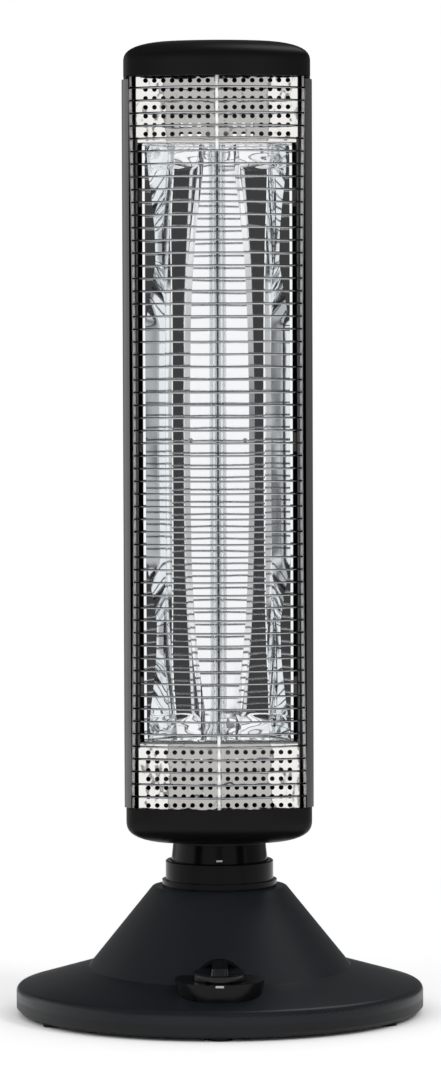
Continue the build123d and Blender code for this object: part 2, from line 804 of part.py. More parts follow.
with BuildPart() as swing_motor:
    with BuildSketch(Plane.XY.offset(bracket_bottom)):
        with Locations((0, gear_distance - motor_offset)):
            Circle(motor_radius)
    extrude(amount=-motor_height)
    with BuildSketch(Plane.XY.offset(bracket_bottom)):
        with Locations((0, gear_distance)):
            Circle(motor_shaft_radius + slip_gap)
    extrude(amount=-motor_height / 2 - fit_gap, mode=Mode.SUBTRACT)

flange_height = tray_floor + plunger_travel + fit_gap
spring_roof = tray_floor + tip_switch_height - tray_wall
with BuildPart() as tip_switch:
    with BuildSketch(Plane.XY.offset(tray_floor)):
        with Locations((tip_switch_x, 0)):
            Rectangle(tip_switch_width, tip_switch_length)
            Circle(plunger_flange_radius + seat_gap, mode=Mode.SUBTRACT)
    extrude(amount=tip_switch_height - tray_wall)
    with BuildSketch(Plane.XY.offset(spring_roof)):
        with Locations((tip_switch_x, 0)):
            Rectangle(tip_switch_width, tip_switch_length)
    extrude(amount=tray_wall)

with BuildPart() as tip_plunger:
    with BuildSketch(Plane.XY.offset(plunger_lift)):
        with Locations((tip_switch_x, 0)):
            Circle(plunger_radius)
    extrude(amount=flange_height - plunger_lift)
    with BuildSketch(Plane.XY.offset(flange_height)):
        with Locations((tip_switch_x, 0)):
            Circle(plunger_flange_radius)
    extrude(amount=plunger_flange_thickness)

with BuildPart() as tip_spring:
    with BuildSketch(Plane.XY.offset(flange_height + plunger_flange_thickness)):
        with Locations((tip_switch_x, 0)):
            Circle(spring_radius)
            Circle(spring_radius - spring_wall, mode=Mode.SUBTRACT)
    extrude(amount=spring_roof - flange_height - plunger_flange_thickness)

with BuildPart() as terminal_block:
    with BuildSketch(Plane.XY.offset(tray_floor)):
        with Locations((0, block_y)):
            Rectangle(block_width, block_depth)
    extrude(amount=block_height)

with BuildPart() as cord_inlet:
    with BuildSketch(Plane.XZ.offset(-foot_radius + overrun)):
        with Locations((0, parting_height)):
            Circle(inlet_radius)
            Circle(inlet_bore_radius, mode=Mode.SUBTRACT)
    extrude(amount=inlet_length)

# Caps: moulded shells with a domed end and a lip that the rear shell slides over
tab_middle = frame_face - frame_tab / 2
frame_middle_y = (frame_back - frame_front) / 2
tab_places = [(-tab_middle, frame_middle_y), (tab_middle, frame_middle_y)]
shell_screw_xs = (-shell_screw_x, shell_screw_x)
with BuildPart() as bottom_cap:
    add(cap_body(lower_cap_edge, lower_cap_tip, lower_crown_height))
    with BuildSketch(Plane.XY.offset(pad_height)):
        Circle(pad_radius)
    extrude(amount=crown_thickness - (pad_height - lower_cap_tip))
    with BuildSketch(Plane.XY.offset(lower_cap_edge)):
        add(spigot_ring())
    extrude(amount=spigot_length)
    with BuildSketch(Plane.XY.offset(lower_cap_tip - overrun)):
        Circle(neck_top_radius + fit_gap)
    extrude(amount=pad_height - lower_cap_tip + overrun, mode=Mode.SUBTRACT)
    with BuildSketch(Plane.XY.offset(pad_height - overrun)):
        Circle(cable_hole_radius)
        with PolarLocations(neck_screw_ring, neck_screw_count, start_angle=45):
            RegularPolygon(small_screw_radius + fit_gap, screw_sides)
    extrude(amount=crown_thickness + 2 * overrun, mode=Mode.SUBTRACT)
    with BuildSketch(Plane.XY.offset(lower_ledge)):
        with Locations(*tab_places):
            RegularPolygon(small_screw_radius + fit_gap, screw_sides)
    extrude(amount=-small_screw_length, mode=Mode.SUBTRACT)
    with BuildSketch(Plane.XZ.offset(-head_back - overrun)):
        for x in shell_screw_xs:
            with Locations((x, shell_lower_edge + shell_screw_inset)):
                RegularPolygon(small_screw_radius + fit_gap, screw_sides)
    extrude(amount=cap_wall + 2 * overrun, mode=Mode.SUBTRACT)

pad_top = lower_cap_tip + crown_thickness
with BuildPart() as neck_screws:
    with BuildSketch(Plane.XY.offset(pad_top)):
        with PolarLocations(neck_screw_ring, neck_screw_count, start_angle=45):
            RegularPolygon(small_head_radius, screw_sides)
    extrude(amount=small_head_height)
    with BuildSketch(Plane.XY.offset(pad_top)):
        with PolarLocations(neck_screw_ring, neck_screw_count, start_angle=45):
            RegularPolygon(small_screw_radius, screw_sides)
    extrude(amount=pad_height - pad_top - small_screw_length + overrun)

with BuildPart() as top_cap:
    add(cap_body(upper_cap_edge, upper_cap_tip, upper_crown_height))
    with BuildSketch(Plane.XY.offset(upper_cap_edge)):
        add(spigot_ring())
    extrude(amount=-spigot_length)
    with BuildSketch(Plane.XY.offset(upper_ledge)):
        with Locations(*tab_places):
            RegularPolygon(small_screw_radius + fit_gap, screw_sides)
    extrude(amount=small_screw_length, mode=Mode.SUBTRACT)
    with BuildSketch(Plane.XZ.offset(-head_back - overrun)):
        for x in shell_screw_xs:
            with Locations((x, shell_upper_edge - shell_screw_inset)):
                RegularPolygon(small_screw_radius + fit_gap, screw_sides)
    extrude(amount=cap_wall + 2 * overrun, mode=Mode.SUBTRACT)

# Rear shell: a bent sheet, open at the front, with two groups of cooling slots in its back
shell_length = shell_upper_edge - shell_lower_edge
slot_group_places = [
    (0, shell_lower_edge + slot_group_inset),
    (0, shell_upper_edge - slot_group_inset),
]
shell_screw_places = [
    (x, height)
    for x in shell_screw_xs
    for height in (shell_lower_edge + shell_screw_inset, shell_upper_edge - shell_screw_inset)
]
with BuildPart() as rear_shell:
    with BuildSketch(Plane.XY.offset(shell_lower_edge)):
        offset(head_outline(), amount=shell_stand)
        offset(head_outline(), amount=shell_stand - shell_thickness, mode=Mode.SUBTRACT)
        with Locations((0, -head_front)):
            Rectangle(2 * shell_front_half_width, 2 * head_front, mode=Mode.SUBTRACT)
    extrude(amount=shell_length)
    with BuildSketch(Plane.XZ.offset(-head_back + shell_thickness)):
        with Locations(*slot_group_places):
            with GridLocations(0, slot_pitch, 1, slot_rows):
                Rectangle(slot_length, slot_width)
        with Locations(*shell_screw_places):
            RegularPolygon(small_screw_radius + fit_gap, screw_sides)
    extrude(amount=-shell_stand - 2 * shell_thickness, mode=Mode.SUBTRACT)

with BuildPart() as shell_screws:
    with BuildSketch(Plane.XZ.offset(-head_back - shell_stand)):
        with Locations(*shell_screw_places):
            RegularPolygon(small_head_radius, screw_sides)
    extrude(amount=-small_head_height)
    with BuildSketch(Plane.XZ.offset(-head_back - shell_stand)):
        with Locations(*shell_screw_places):
            RegularPolygon(small_screw_radius, screw_sides)
    extrude(amount=shell_stand + cap_wall)


def side_frame(side):
    """One upright strip with a bent tab at each end, on the left (-1) or the right (1)."""
    with BuildPart() as frame:
        with BuildSketch(Plane.XZ.offset(frame_front)):
            Polygon(
                (side * (frame_face - frame_tab), lower_ledge),
                (side * frame_outer, lower_ledge),
                (side * frame_outer, upper_ledge),
                (side * (frame_face - frame_tab), upper_ledge),
                (side * (frame_face - frame_tab), upper_ledge - frame_thickness),
                (side * frame_face, upper_ledge - frame_thickness),
                (side * frame_face, lower_ledge + frame_thickness),
                (side * (frame_face - frame_tab), lower_ledge + frame_thickness),
                align=None,
            )
        extrude(amount=-frame_front - frame_back)
        with BuildSketch(Plane.XY.offset(lower_ledge)):
            with Locations((side * tab_middle, frame_middle_y)):
                RegularPolygon(small_screw_radius + fit_gap, screw_sides)
        extrude(amount=upper_ledge - lower_ledge, mode=Mode.SUBTRACT)
        with BuildSketch(Plane.XY.offset(lower_ledge + frame_thickness)):
            with Locations((side * (frame_face - frame_tab), -frame_front + tab_relief / 2)):
                Rectangle(2 * frame_tab, tab_relief)
        extrude(amount=-frame_thickness, mode=Mode.SUBTRACT)
        with BuildSketch(Plane.XY.offset(upper_ledge - frame_thickness)):
            with Locations((side * (frame_face - frame_tab), -frame_front + tab_relief / 2)):
                Rectangle(2 * frame_tab, tab_relief)
        extrude(amount=frame_thickness, mode=Mode.SUBTRACT)
    return frame


side_frame_left = side_frame(-1)
side_frame_right = side_frame(1)

with BuildPart() as frame_screws:
    for ledge, way in ((lower_ledge + frame_thickness, 1), (upper_ledge - frame_thickness, -1)):
        with BuildSketch(Plane.XY.offset(ledge)):
            with Locations(*tab_places):
                RegularPolygon(small_head_radius, screw_sides)
        extrude(amount=way * small_head_height)
        with BuildSketch(Plane.XY.offset(ledge)):
            with Locations(*tab_places):
                RegularPolygon(small_screw_radius, screw_sides)
        extrude(amount=way * (overrun - small_screw_length - frame_thickness))


def perforated_plate(inner_edge, outer_edge, holes_middle):
    """A flat plate with a lip bent back at its inner edge, and rows of holes."""
    way = 1 if outer_edge > inner_edge else -1
    lip_depth = plate_front - trough_front
    with BuildPart() as plate:
        with BuildSketch(Plane.XZ.offset(plate_front)):
            with Locations((0, (inner_edge + outer_edge) / 2)):
                Rectangle(2 * plate_half_width, abs(outer_edge - inner_edge))
            with Locations((0, holes_middle)):
                with GridLocations(hole_pitch, hole_pitch, hole_columns, hole_rows):
                    RegularPolygon(hole_radius, hole_sides, mode=Mode.SUBTRACT)
        extrude(amount=-plate_thickness)
        with BuildSketch(Plane.YZ):
            Polygon(
                (-plate_front, inner_edge),
                (-plate_front + plate_thickness, inner_edge),
                (-plate_front + lip_depth, inner_edge - way * (lip_height - plate_thickness)),
                (-plate_front + lip_depth, inner_edge - way * lip_height),
                align=None,
            )
        extrude(amount=frame_face - seat_gap, both=True)
    return plate


upper_plate = perforated_plate(
    upper_plate_edge, upper_cap_edge + plate_tuck, upper_cap_edge - upper_holes_inset
)
lower_plate = perforated_plate(
    lower_plate_edge, lower_cap_edge - plate_tuck, lower_cap_edge + lower_holes_inset
)

# Reflector: folded sheet, its outer line set off from the folds by the sheet's thickness
fold_points = [
    (-half, depth - trough_front) for half, depth in zip(fold_half_widths, fold_depths)
]
fold_points += [(-x, y) for x, y in reversed(fold_points[:-1])]
with BuildPart() as reflector:
    with BuildSketch(Plane.XY.offset(trough_lower)):
        with BuildLine() as folds:
            Polyline(*fold_points)
            offset(amount=mirror_thickness, side=Side.LEFT, kind=Kind.INTERSECTION)
        make_face()
    extrude(amount=trough_upper - trough_lower)


def end_plate(height):
    """A level plate between the side frames that closes one end of the trough."""
    with BuildPart() as plate:
        with BuildSketch(Plane.XY.offset(height)):
            with Locations((0, (frame_back - trough_front) / 2)):
                Rectangle(2 * (frame_face - fit_gap), trough_front + frame_back)
            with Locations((0, tube_y)):
                Circle(tube_radius + seat_gap, mode=Mode.SUBTRACT)
        extrude(amount=end_plate_thickness)
    return plate


trough_end_upper = end_plate(trough_upper)
trough_end_lower = end_plate(trough_lower - end_plate_thickness)

with BuildPart() as cross_straps:
    with BuildSketch(Plane.XZ.offset(-trough_back - mirror_thickness)):
        with Locations((0, trough_middle)):
            with GridLocations(0, strap_pitch, 1, strap_count):
                Rectangle(2 * (frame_face - fit_gap), strap_height)
    extrude(amount=-strap_thickness)


def tube_holder(face, way):
    """A ceramic block on the outer face of an end plate, with a blind bore for the tube."""
    with BuildPart() as holder:
        with BuildSketch(Plane.XY.offset(face)):
            with Locations((0, tube_y)):
                Rectangle(holder_width, holder_width)
        extrude(amount=way * holder_height)
        with BuildSketch(Plane.XY.offset(face)):
            with Locations((0, tube_y)):
                Circle(tube_radius + seat_gap)
        extrude(amount=way * tube_seat, mode=Mode.SUBTRACT)
    return holder


upper_seat = trough_upper + end_plate_thickness
lower_seat = trough_lower - end_plate_thickness
tube_holder_upper = tube_holder(upper_seat, 1)
tube_holder_lower = tube_holder(lower_seat, -1)

tube_top = upper_seat + tube_seat - fit_gap
tube_bottom = lower_seat - tube_seat + fit_gap
with BuildPart() as quartz_tube:
    with BuildSketch(Plane.XY.offset(tube_bottom)):
        with Locations((0, tube_y)):
            Circle(tube_radius)
            Circle(tube_radius - tube_wall, mode=Mode.SUBTRACT)
    extrude(amount=tube_top - tube_bottom)

with BuildPart() as carbon_filament:
    with BuildSketch(Plane.XY.offset(tube_bottom)):
        with Locations((0, tube_y)):
            Circle(filament_radius)
    extrude(amount=tube_top - tube_bottom)
    for height, way in ((tube_bottom, 1), (tube_top, -1)):
        with BuildSketch(Plane.XY.offset(height)):
            with Locations((0, tube_y)):
                Circle(tube_radius - tube_wall - fit_gap)
        extrude(amount=way * filament_plug_length)

# Tube support: a wire from an eyelet on the reflector, round the front of the tube and back
support_radius = tube_radius + seat_gap + support_wire / 2
support_back = fold_depths[-2] - trough_front - fit_gap
with BuildPart() as tube_support:
    with BuildSketch(Plane.XY.offset(support_height - support_wire / 2)):
        with BuildLine() as support_path:
            Line((-support_half_span, support_back - support_wire), (-support_radius, tube_y))
            ThreePointArc(
                (-support_radius, tube_y),
                (0, tube_y - support_radius),
                (support_radius, tube_y),
            )
            Line((support_radius, tube_y), (support_half_span, support_back - support_wire))
            offset(amount=support_wire / 2, side=Side.BOTH, kind=Kind.INTERSECTION)
        make_face()
    extrude(amount=support_wire)
    with BuildSketch(Plane.XZ.offset(-support_back)):
        with Locations((-support_half_span, support_height), (support_half_span, support_height)):
            RegularPolygon(eyelet_radius, hole_sides)
            RegularPolygon(eyelet_radius / 2, hole_sides, mode=Mode.SUBTRACT)
    extrude(amount=support_wire)

with BuildPart() as thermal_cutout:
    with BuildSketch(Plane.XZ.offset(-trough_back - mirror_thickness)):
        with Locations((0, trough_middle + cutout_above_middle)):
            Circle(cutout_radius)
    extrude(amount=-cutout_height)


def rod_reach(height):
    """Half width of the guard at a height: its side rods bow in towards half height."""
    middle = (wire_lowest + wire_highest) / 2
    half_length = (wire_highest - wire_lowest) / 2
    return rod_half_span - rod_waist * (1 - ((height - middle) / half_length) ** 2)


def wire_side(height, shift):
    """One long side of a guard wire, seen from above: chords of the bow and a leg at each end."""
    reach = rod_reach(height) + shift
    side_radius = wire_bow_radius + shift
    half_turn = asin((reach - wire_corner_inset) / side_radius)
    leg_end = -rod_depth - rod_radius - weld_gap
    points = [(-reach, leg_end)]
    for chord in range(wire_chords + 1):
        turn = half_turn * (2 * chord / wire_chords - 1)
        points.append((side_radius * sin(turn), bow_centre - side_radius * cos(turn)))
    points.append((reach, leg_end))
    return points


wire_pitch = (wire_highest - wire_lowest) / (wire_count - 1)
with BuildPart() as guard_wires:
    for number in range(wire_count):
        height = wire_lowest + number * wire_pitch
        front_side = wire_side(height, wire_size / 2)
        rear_side = wire_side(height, -wire_size / 2)
        with BuildSketch(Plane.XY.offset(height - wire_size / 2)):
            Polygon(*front_side, *reversed(rear_side), align=None)
        extrude(amount=wire_size)

rod_bottom = lower_cap_edge - rod_tuck
rod_top = upper_cap_edge + rod_tuck
with BuildPart() as guard_side_rods:
    for side in (-1, 1):
        with BuildLine() as rod_path:
            ThreePointArc(
                (side * rod_reach(rod_bottom), -rod_depth, rod_bottom),
                (side * rod_reach((rod_bottom + rod_top) / 2), -rod_depth, (rod_bottom + rod_top) / 2),
                (side * rod_reach(rod_top), -rod_depth, rod_top),
            )
        with BuildSketch(Plane(rod_path.line @ 0, z_dir=rod_path.line % 0)):
            RegularPolygon(rod_radius, rod_sides)
        sweep(path=rod_path.line)

centre_rod_reach = (centre_rod_wires - 1) * wire_pitch + wire_size / 2
centre_rod_depth = bow_centre - wire_bow_radius + wire_size / 2 + weld_gap + centre_rod_radius
centre_rod_ends = (
    (rod_bottom, wire_lowest + centre_rod_reach),
    (wire_highest - centre_rod_reach, rod_top),
)
with BuildPart() as guard_centre_rod:
    for bottom, top in centre_rod_ends:
        with BuildSketch(Plane.XY.offset(bottom)):
            with Locations((0, centre_rod_depth)):
                RegularPolygon(centre_rod_radius, rod_sides)
        extrude(amount=top - bottom)

pieces = {
    "foot_cover": foot_cover,
    "foot_tray": foot_tray,
    "counterweight": counterweight,
    "rubber_feet": rubber_feet,
    "tray_screws": tray_screws,
    "dial_surround": dial_surround,
    "rotary_switch": rotary_switch,
    "switch_shaft": switch_shaft,
    "control_dial": control_dial,
    "collar": collar,
    "swivel_bush": swivel_bush,
    "collar_screws": collar_screws,
    "neck": neck,
    "retaining_clip": retaining_clip,
    "sector_gear": sector_gear,
    "gear_screws": gear_screws,
    "drive_pinion": drive_pinion,
    "motor_bracket": motor_bracket,
    "bracket_screws": bracket_screws,
    "stop_pin": stop_pin,
    "swing_motor": swing_motor,
    "tip_switch": tip_switch,
    "tip_plunger": tip_plunger,
    "tip_spring": tip_spring,
    "terminal_block": terminal_block,
    "cord_inlet": cord_inlet,
    "bottom_cap": bottom_cap,
    "neck_screws": neck_screws,
    "top_cap": top_cap,
    "rear_shell": rear_shell,
    "shell_screws": shell_screws,
    "side_frame_left": side_frame_left,
    "side_frame_right": side_frame_right,
    "frame_screws": frame_screws,
    "upper_plate": upper_plate,
    "lower_plate": lower_plate,
    "reflector": reflector,
    "trough_end_upper": trough_end_upper,
    "trough_end_lower": trough_end_lower,
    "cross_straps": cross_straps,
    "tube_holder_upper": tube_holder_upper,
    "tube_holder_lower": tube_holder_lower,
    "quartz_tube": quartz_tube,
    "carbon_filament": carbon_filament,
    "tube_support": tube_support,
    "thermal_cutout": thermal_cutout,
    "guard_wires": guard_wires,
    "guard_side_rods": guard_side_rods,
    "guard_centre_rod": guard_centre_rod,
}
for label, piece in pieces.items():
    piece.part.label = label
    export_step(piece.part, f"parts/{label}.step")
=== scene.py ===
import json
import math

import bmesh
import bpy
from mathutils import Matrix, Vector, noise


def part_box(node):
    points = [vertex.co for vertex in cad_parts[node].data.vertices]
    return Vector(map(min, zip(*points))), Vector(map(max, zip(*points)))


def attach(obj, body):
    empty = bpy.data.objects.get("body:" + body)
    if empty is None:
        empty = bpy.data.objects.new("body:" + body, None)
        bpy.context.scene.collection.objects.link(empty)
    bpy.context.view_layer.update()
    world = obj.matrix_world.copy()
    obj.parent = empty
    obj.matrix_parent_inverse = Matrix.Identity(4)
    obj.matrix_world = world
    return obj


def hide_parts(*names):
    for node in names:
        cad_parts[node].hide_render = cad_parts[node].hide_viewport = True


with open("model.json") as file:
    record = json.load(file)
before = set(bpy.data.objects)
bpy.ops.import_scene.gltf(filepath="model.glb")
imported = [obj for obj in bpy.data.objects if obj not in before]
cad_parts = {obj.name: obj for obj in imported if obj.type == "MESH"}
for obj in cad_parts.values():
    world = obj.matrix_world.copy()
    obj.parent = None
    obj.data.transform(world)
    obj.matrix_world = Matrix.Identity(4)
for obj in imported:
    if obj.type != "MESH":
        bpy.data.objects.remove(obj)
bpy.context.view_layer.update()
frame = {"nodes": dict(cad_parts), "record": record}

cad = frame["nodes"]


# Camera: a long lens at the height of the head's middle, tipped down a little.
# It stands where the foot's ellipse and the caps' edges of the photograph agree.
camera_height = 0.484
camera_distance = 3.3
camera_aside = 0.0016
camera_tip = math.radians(2.35)
camera_roll = math.radians(0.2)
film_width_mm = 36
focal_length_mm = 149.7
farthest_seen = 50


def add_object(name, data):
    """A new object in the scene."""
    thing = bpy.data.objects.new(name, data)
    bpy.context.scene.collection.objects.link(thing)
    return thing


camera_data = bpy.data.cameras.new("camera")
camera_data.sensor_width = film_width_mm
camera_data.lens = focal_length_mm
camera_data.clip_end = farthest_seen
camera = add_object("camera", camera_data)
camera.matrix_world = (
    Matrix.Translation((camera_aside, -camera_distance, camera_height))
    @ Matrix.Rotation(math.pi / 2 - camera_tip, 4, "X")
    @ Matrix.Rotation(-camera_roll, 4, "Z")
)
bpy.context.scene.camera = camera
bpy.context.scene.view_settings.view_transform = "Standard"


# Studio: a pale floor that fades into a white room. Glossy surfaces see a white panel in front with a
# grey strip down its middle, a dark gap on each side of it, and a dim ceiling.
def linear(hex_colour):
    """An sRGB hex colour as linear red, green, blue and alpha."""
    parts = [int(hex_colour[i : i + 2], 16) / 255 for i in (1, 3, 5)]
    return [c / 12.92 if c <= 0.04045 else ((c + 0.055) / 1.055) ** 2.4 for c in parts] + [1]


def add_node(tree, kind, inputs=None, **settings):
    """A new node; inputs maps a socket's name or number to a value or to another node's output."""
    node = tree.nodes.new(kind)
    for name, value in settings.items():
        setattr(node, name, value)
    for socket, value in (inputs or {}).items():
        if isinstance(value, bpy.types.NodeSocket):
            tree.links.new(value, node.inputs[socket])
        else:
            node.inputs[socket].default_value = value
    return node


# What glossy surfaces see: pairs of an angle from the front, in degrees, and the level there.
seen_middle = [(4.8, 0.55), (5.2, 0.03), (6.1, 0.03), (6.5, 1), (40, 1), (45, 0.05), (60, 0.05), (64, 1)]
seen_left = seen_middle + [(74, 1.3), (125, 1.3), (145, 0.2)]
seen_right = seen_middle + [(74, 0.45), (125, 0.45), (145, 0.15)]
# The ceiling takes over between two sines of elevation, and leaves this share of the light.
ceiling_begins = 0.22
ceiling_is_full = 0.6
ceiling_light = 0.2
# A soft lamp behind and above, to the right, that only glossy surfaces see. It fades between two
# cosines of the angle from its direction.
back_lamp_way = (0.313, 0.378, 0.871)
back_lamp_edge = 0.93
back_lamp_core = 0.99
back_lamp_level = 2.6
world = bpy.data.worlds.new("studio")
bpy.context.scene.world = world
world.use_nodes = True
tree = world.node_tree
tree.nodes.clear()
direction = add_node(tree, "ShaderNodeTexCoord").outputs["Generated"]
axes = add_node(tree, "ShaderNodeSeparateXYZ", {0: direction})
front = add_node(tree, "ShaderNodeMath", {0: axes.outputs["Y"], 1: -1.0}, operation="MULTIPLY")
azimuth = add_node(tree, "ShaderNodeMath", {0: axes.outputs["X"], 1: front.outputs[0]}, operation="ARCTAN2")
turn = add_node(
    tree, "ShaderNodeMapRange", {"Value": azimuth.outputs[0], "From Min": -math.pi, "From Max": math.pi}
)
around = add_node(tree, "ShaderNodeValToRGB", {"Fac": turn.outputs[0]})
levels_seen = [(-angle, level) for angle, level in reversed(seen_left)] + seen_right
for number, (angle, level) in enumerate(levels_seen):
    share = 0.5 + angle / 360
    stop = around.color_ramp.elements[number] if number < 2 else around.color_ramp.elements.new(share)
    stop.position = share
    stop.color = (level, level, level, 1)
ceiling = add_node(
    tree,
    "ShaderNodeMapRange",
    {
        "Value": axes.outputs["Z"],
        "From Min": ceiling_begins,
        "From Max": ceiling_is_full,
        "To Min": 1.0,
        "To Max": ceiling_light,
    },
    interpolation_type="SMOOTHSTEP",
)
facing = add_node(tree, "ShaderNodeVectorMath", {0: direction, 1: back_lamp_way}, operation="DOT_PRODUCT")
patch = add_node(
    tree,
    "ShaderNodeMapRange",
    {
        "Value": facing.outputs["Value"],
        "From Min": back_lamp_edge,
        "From Max": back_lamp_core,
        "To Max": back_lamp_level,
    },
    interpolation_type="SMOOTHSTEP",
)
seen = add_node(
    tree,
    "ShaderNodeMath",
    {0: around.outputs[0], 1: ceiling.outputs[0], 2: patch.outputs[0]},
    operation="MULTIPLY_ADD",
)
rays = add_node(tree, "ShaderNodeLightPath")
strength = add_node(
    tree,
    "ShaderNodeMix",
    {"Factor": rays.outputs["Is Glossy Ray"], "A": 1.0, "B": seen.outputs[0]},
    data_type="FLOAT",
)
background = add_node(
    tree, "ShaderNodeBackground", {"Color": linear("#ffffff"), "Strength": strength.outputs[0]}
)
add_node(tree, "ShaderNodeOutputWorld", {"Surface": background.outputs[0]})

floor_radius = 1.5
floor_sides = 96
matt_floor_radius = 0.25
faded_floor_radius = 0.9


def mesh_from(name, bm):
    """The edited mesh as mesh data, which ends the editing."""
    mesh = bpy.data.meshes.new(name)
    bm.to_mesh(mesh)
    bm.free()
    return mesh


bm = bmesh.new()
bmesh.ops.create_circle(bm, cap_ends=True, segments=floor_sides, radius=floor_radius)
floor = add_object("floor", mesh_from("floor", bm))
floor_paint = bpy.data.materials.new("floor paint")
floor_paint.use_nodes = True
tree = floor_paint.node_tree
tree.nodes.clear()
place = add_node(tree, "ShaderNodeTexCoord").outputs["Object"]
distance = add_node(tree, "ShaderNodeVectorMath", {0: place}, operation="LENGTH")
fade = add_node(
    tree,
    "ShaderNodeMapRange",
    {"Value": distance.outputs["Value"], "From Min": matt_floor_radius, "From Max": faded_floor_radius},
    interpolation_type="SMOOTHSTEP",
)
matt = add_node(tree, "ShaderNodeBsdfDiffuse", {"Color": linear("#f4f4f4")})
glow = add_node(tree, "ShaderNodeEmission", {"Color": linear("#ffffff")})
blend = add_node(tree, "ShaderNodeMixShader", {0: fade.outputs[0], 1: matt.outputs[0], 2: glow.outputs[0]})
add_node(tree, "ShaderNodeOutputMaterial", {"Surface": blend.outputs[0]})
floor.data.materials.append(floor_paint)


def add_lamp(name, place, aim, size, watts):
    """A square soft lamp that faces a point and isn't mirrored by glossy surfaces."""
    lamp = bpy.data.lights.new(name, "AREA")
    lamp.size = size
    lamp.energy = watts
    holder = add_object(name, lamp)
    holder.location = place
    holder.rotation_euler = (Vector(aim) - Vector(place)).to_track_quat("-Z", "Y").to_euler()
    holder.visible_glossy = False


add_lamp("lamp right", place=(1.5, -1.15, 1.9), aim=(0, 0, 0.1), size=0.5, watts=14)
add_lamp("lamp left", place=(-1.6, -1.6, 1.6), aim=(0, 0, 0.3), size=1.2, watts=8)


# Foot cover and tray: two mouldings in black ABS that meet at a line on the rim. The cover has a
# satin gloss and the tray a light grain. Four screws from below hold them together.
MM = 0.001
merge_reach = 0.002 * MM
gloss_spread = 0.1
grain_strength = 0.5
node_body = {node: body for body, nodes in frame["record"]["behaviour"]["bodies"].items() for node in nodes}


def new_material(name):
    """A material, its node tree, its shader and its Object coordinates."""
    material = bpy.data.materials.new(name)
    material.use_nodes = True
    tree = material.node_tree
    place = add_node(tree, "ShaderNodeTexCoord").outputs["Object"]
    return material, tree, tree.nodes["Principled BSDF"], place


def moulded(name, colour, roughness, grain_mm, grain_height_mm, ior=1.46, specular=0.5):
    """A moulded plastic: one colour, with a faint grain from the mould that breaks up its gloss."""
    material, tree, shader, place = new_material(name)
    grain = add_node(
        tree, "ShaderNodeTexNoise", {"Vector": place, "Scale": 1 / (grain_mm * MM), "Detail": 2.0}
    )
    sheen = add_node(
        tree,
        "ShaderNodeMapRange",
        {
            "Value": grain.outputs[0],
            "To Min": roughness * (1 - gloss_spread),
            "To Max": roughness * (1 + gloss_spread),
        },
    )
    bump = add_node(
        tree,
        "ShaderNodeBump",
        {"Height": grain.outputs[0], "Distance": grain_height_mm * MM, "Strength": grain_strength},
    )
    shader.inputs["Base Color"].default_value = linear(colour)
    shader.inputs["IOR"].default_value = ior
    shader.inputs["Specular IOR Level"].default_value = specular
    tree.links.new(sheen.outputs[0], shader.inputs["Roughness"])
    tree.links.new(bump.outputs[0], shader.inputs["Normal"])
    return material


def seat(piece, *nodes):
    """A finished piece rides on the body of the CAD nodes that it stands for, and those nodes are hidden."""
    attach(piece, node_body[nodes[0]])
    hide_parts(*nodes)


def dress(material, *nodes, corner_degrees=30):
    """Each CAD node gets a copy with merged points and smooth-shaded curves, in a material."""
    for node in nodes:
        piece = add_object(node + "_skin", cad[node].data.copy())
        bm = bmesh.new()
        bm.from_mesh(piece.data)
        bmesh.ops.remove_doubles(bm, verts=bm.verts, dist=merge_reach)
        for face in bm.faces:
            face.smooth = True
        for edge in bm.edges:
            bend = edge.calc_face_angle(0) if len(edge.link_faces) == 2 else math.pi
            edge.smooth = bend < math.radians(corner_degrees)
        bm.to_mesh(piece.data)
        bm.free()
        piece.data.materials.clear()
        piece.data.materials.append(material)
        seat(piece, node)


satin_abs = moulded(
    "satin moulded ABS", "#14171b", roughness=0.36, grain_mm=1.4, grain_height_mm=0.01, specular=0.28
)
grained_abs = moulded(
    "grained moulded ABS", "#131416", roughness=0.45, grain_mm=0.9, grain_height_mm=0.03, specular=0.28
)
dress(satin_abs, "foot_cover", corner_degrees=12)
dress(grained_abs, "foot_tray", "cord_inlet")


# Rubber pads: six moulded discs that are pushed into the tray's floor, where they keep the foot
# from sliding. Black rubber with a matt face.
def new_tree(name, inputs):
    """An empty Geometry Nodes tree with named inputs, and its entry node."""
    tree = bpy.data.node_groups.new(name, "GeometryNodeTree")
    tree.interface.new_socket("Geometry", in_out="INPUT", socket_type="NodeSocketGeometry")
    for label, kind in inputs.items():
        tree.interface.new_socket(label, in_out="INPUT", socket_type="NodeSocket" + kind)
    tree.interface.new_socket("Geometry", in_out="OUTPUT", socket_type="NodeSocketGeometry")
    return tree, tree.nodes.new("NodeGroupInput").outputs


def close_tree(tree, shape, material, smooth=True):
    """Ends a tree: its instances are made real, shaded and given the material."""
    real = add_node(tree, "GeometryNodeRealizeInstances", {0: shape})
    shaded = add_node(tree, "GeometryNodeSetShadeSmooth", {0: real.outputs[0], "Shade Smooth": smooth})
    painted = add_node(tree, "GeometryNodeSetMaterial", {0: shaded.outputs[0], "Material": material})
    tree.links.new(painted.outputs[0], tree.nodes.new("NodeGroupOutput").inputs[0])


def grow(name, tree, values, start=None, corner_degrees=None):
    """Runs a tree on a starting mesh and returns the result as an object with a plain mesh."""
    piece = add_object(name, start or bpy.data.meshes.new(name))
    modifier = piece.modifiers.new("shape", "NODES")
    modifier.node_group = tree
    for socket in tree.interface.items_tree:
        if socket.in_out == "INPUT" and socket.name in values:
            modifier[socket.identifier] = values[socket.name]
    shape = piece.evaluated_get(bpy.context.evaluated_depsgraph_get())
    mesh = bpy.data.meshes.new_from_object(shape)
    piece.modifiers.remove(modifier)
    piece.data = mesh
    if corner_degrees:
        mesh.set_sharp_from_angle(angle=math.radians(corner_degrees))
    return piece


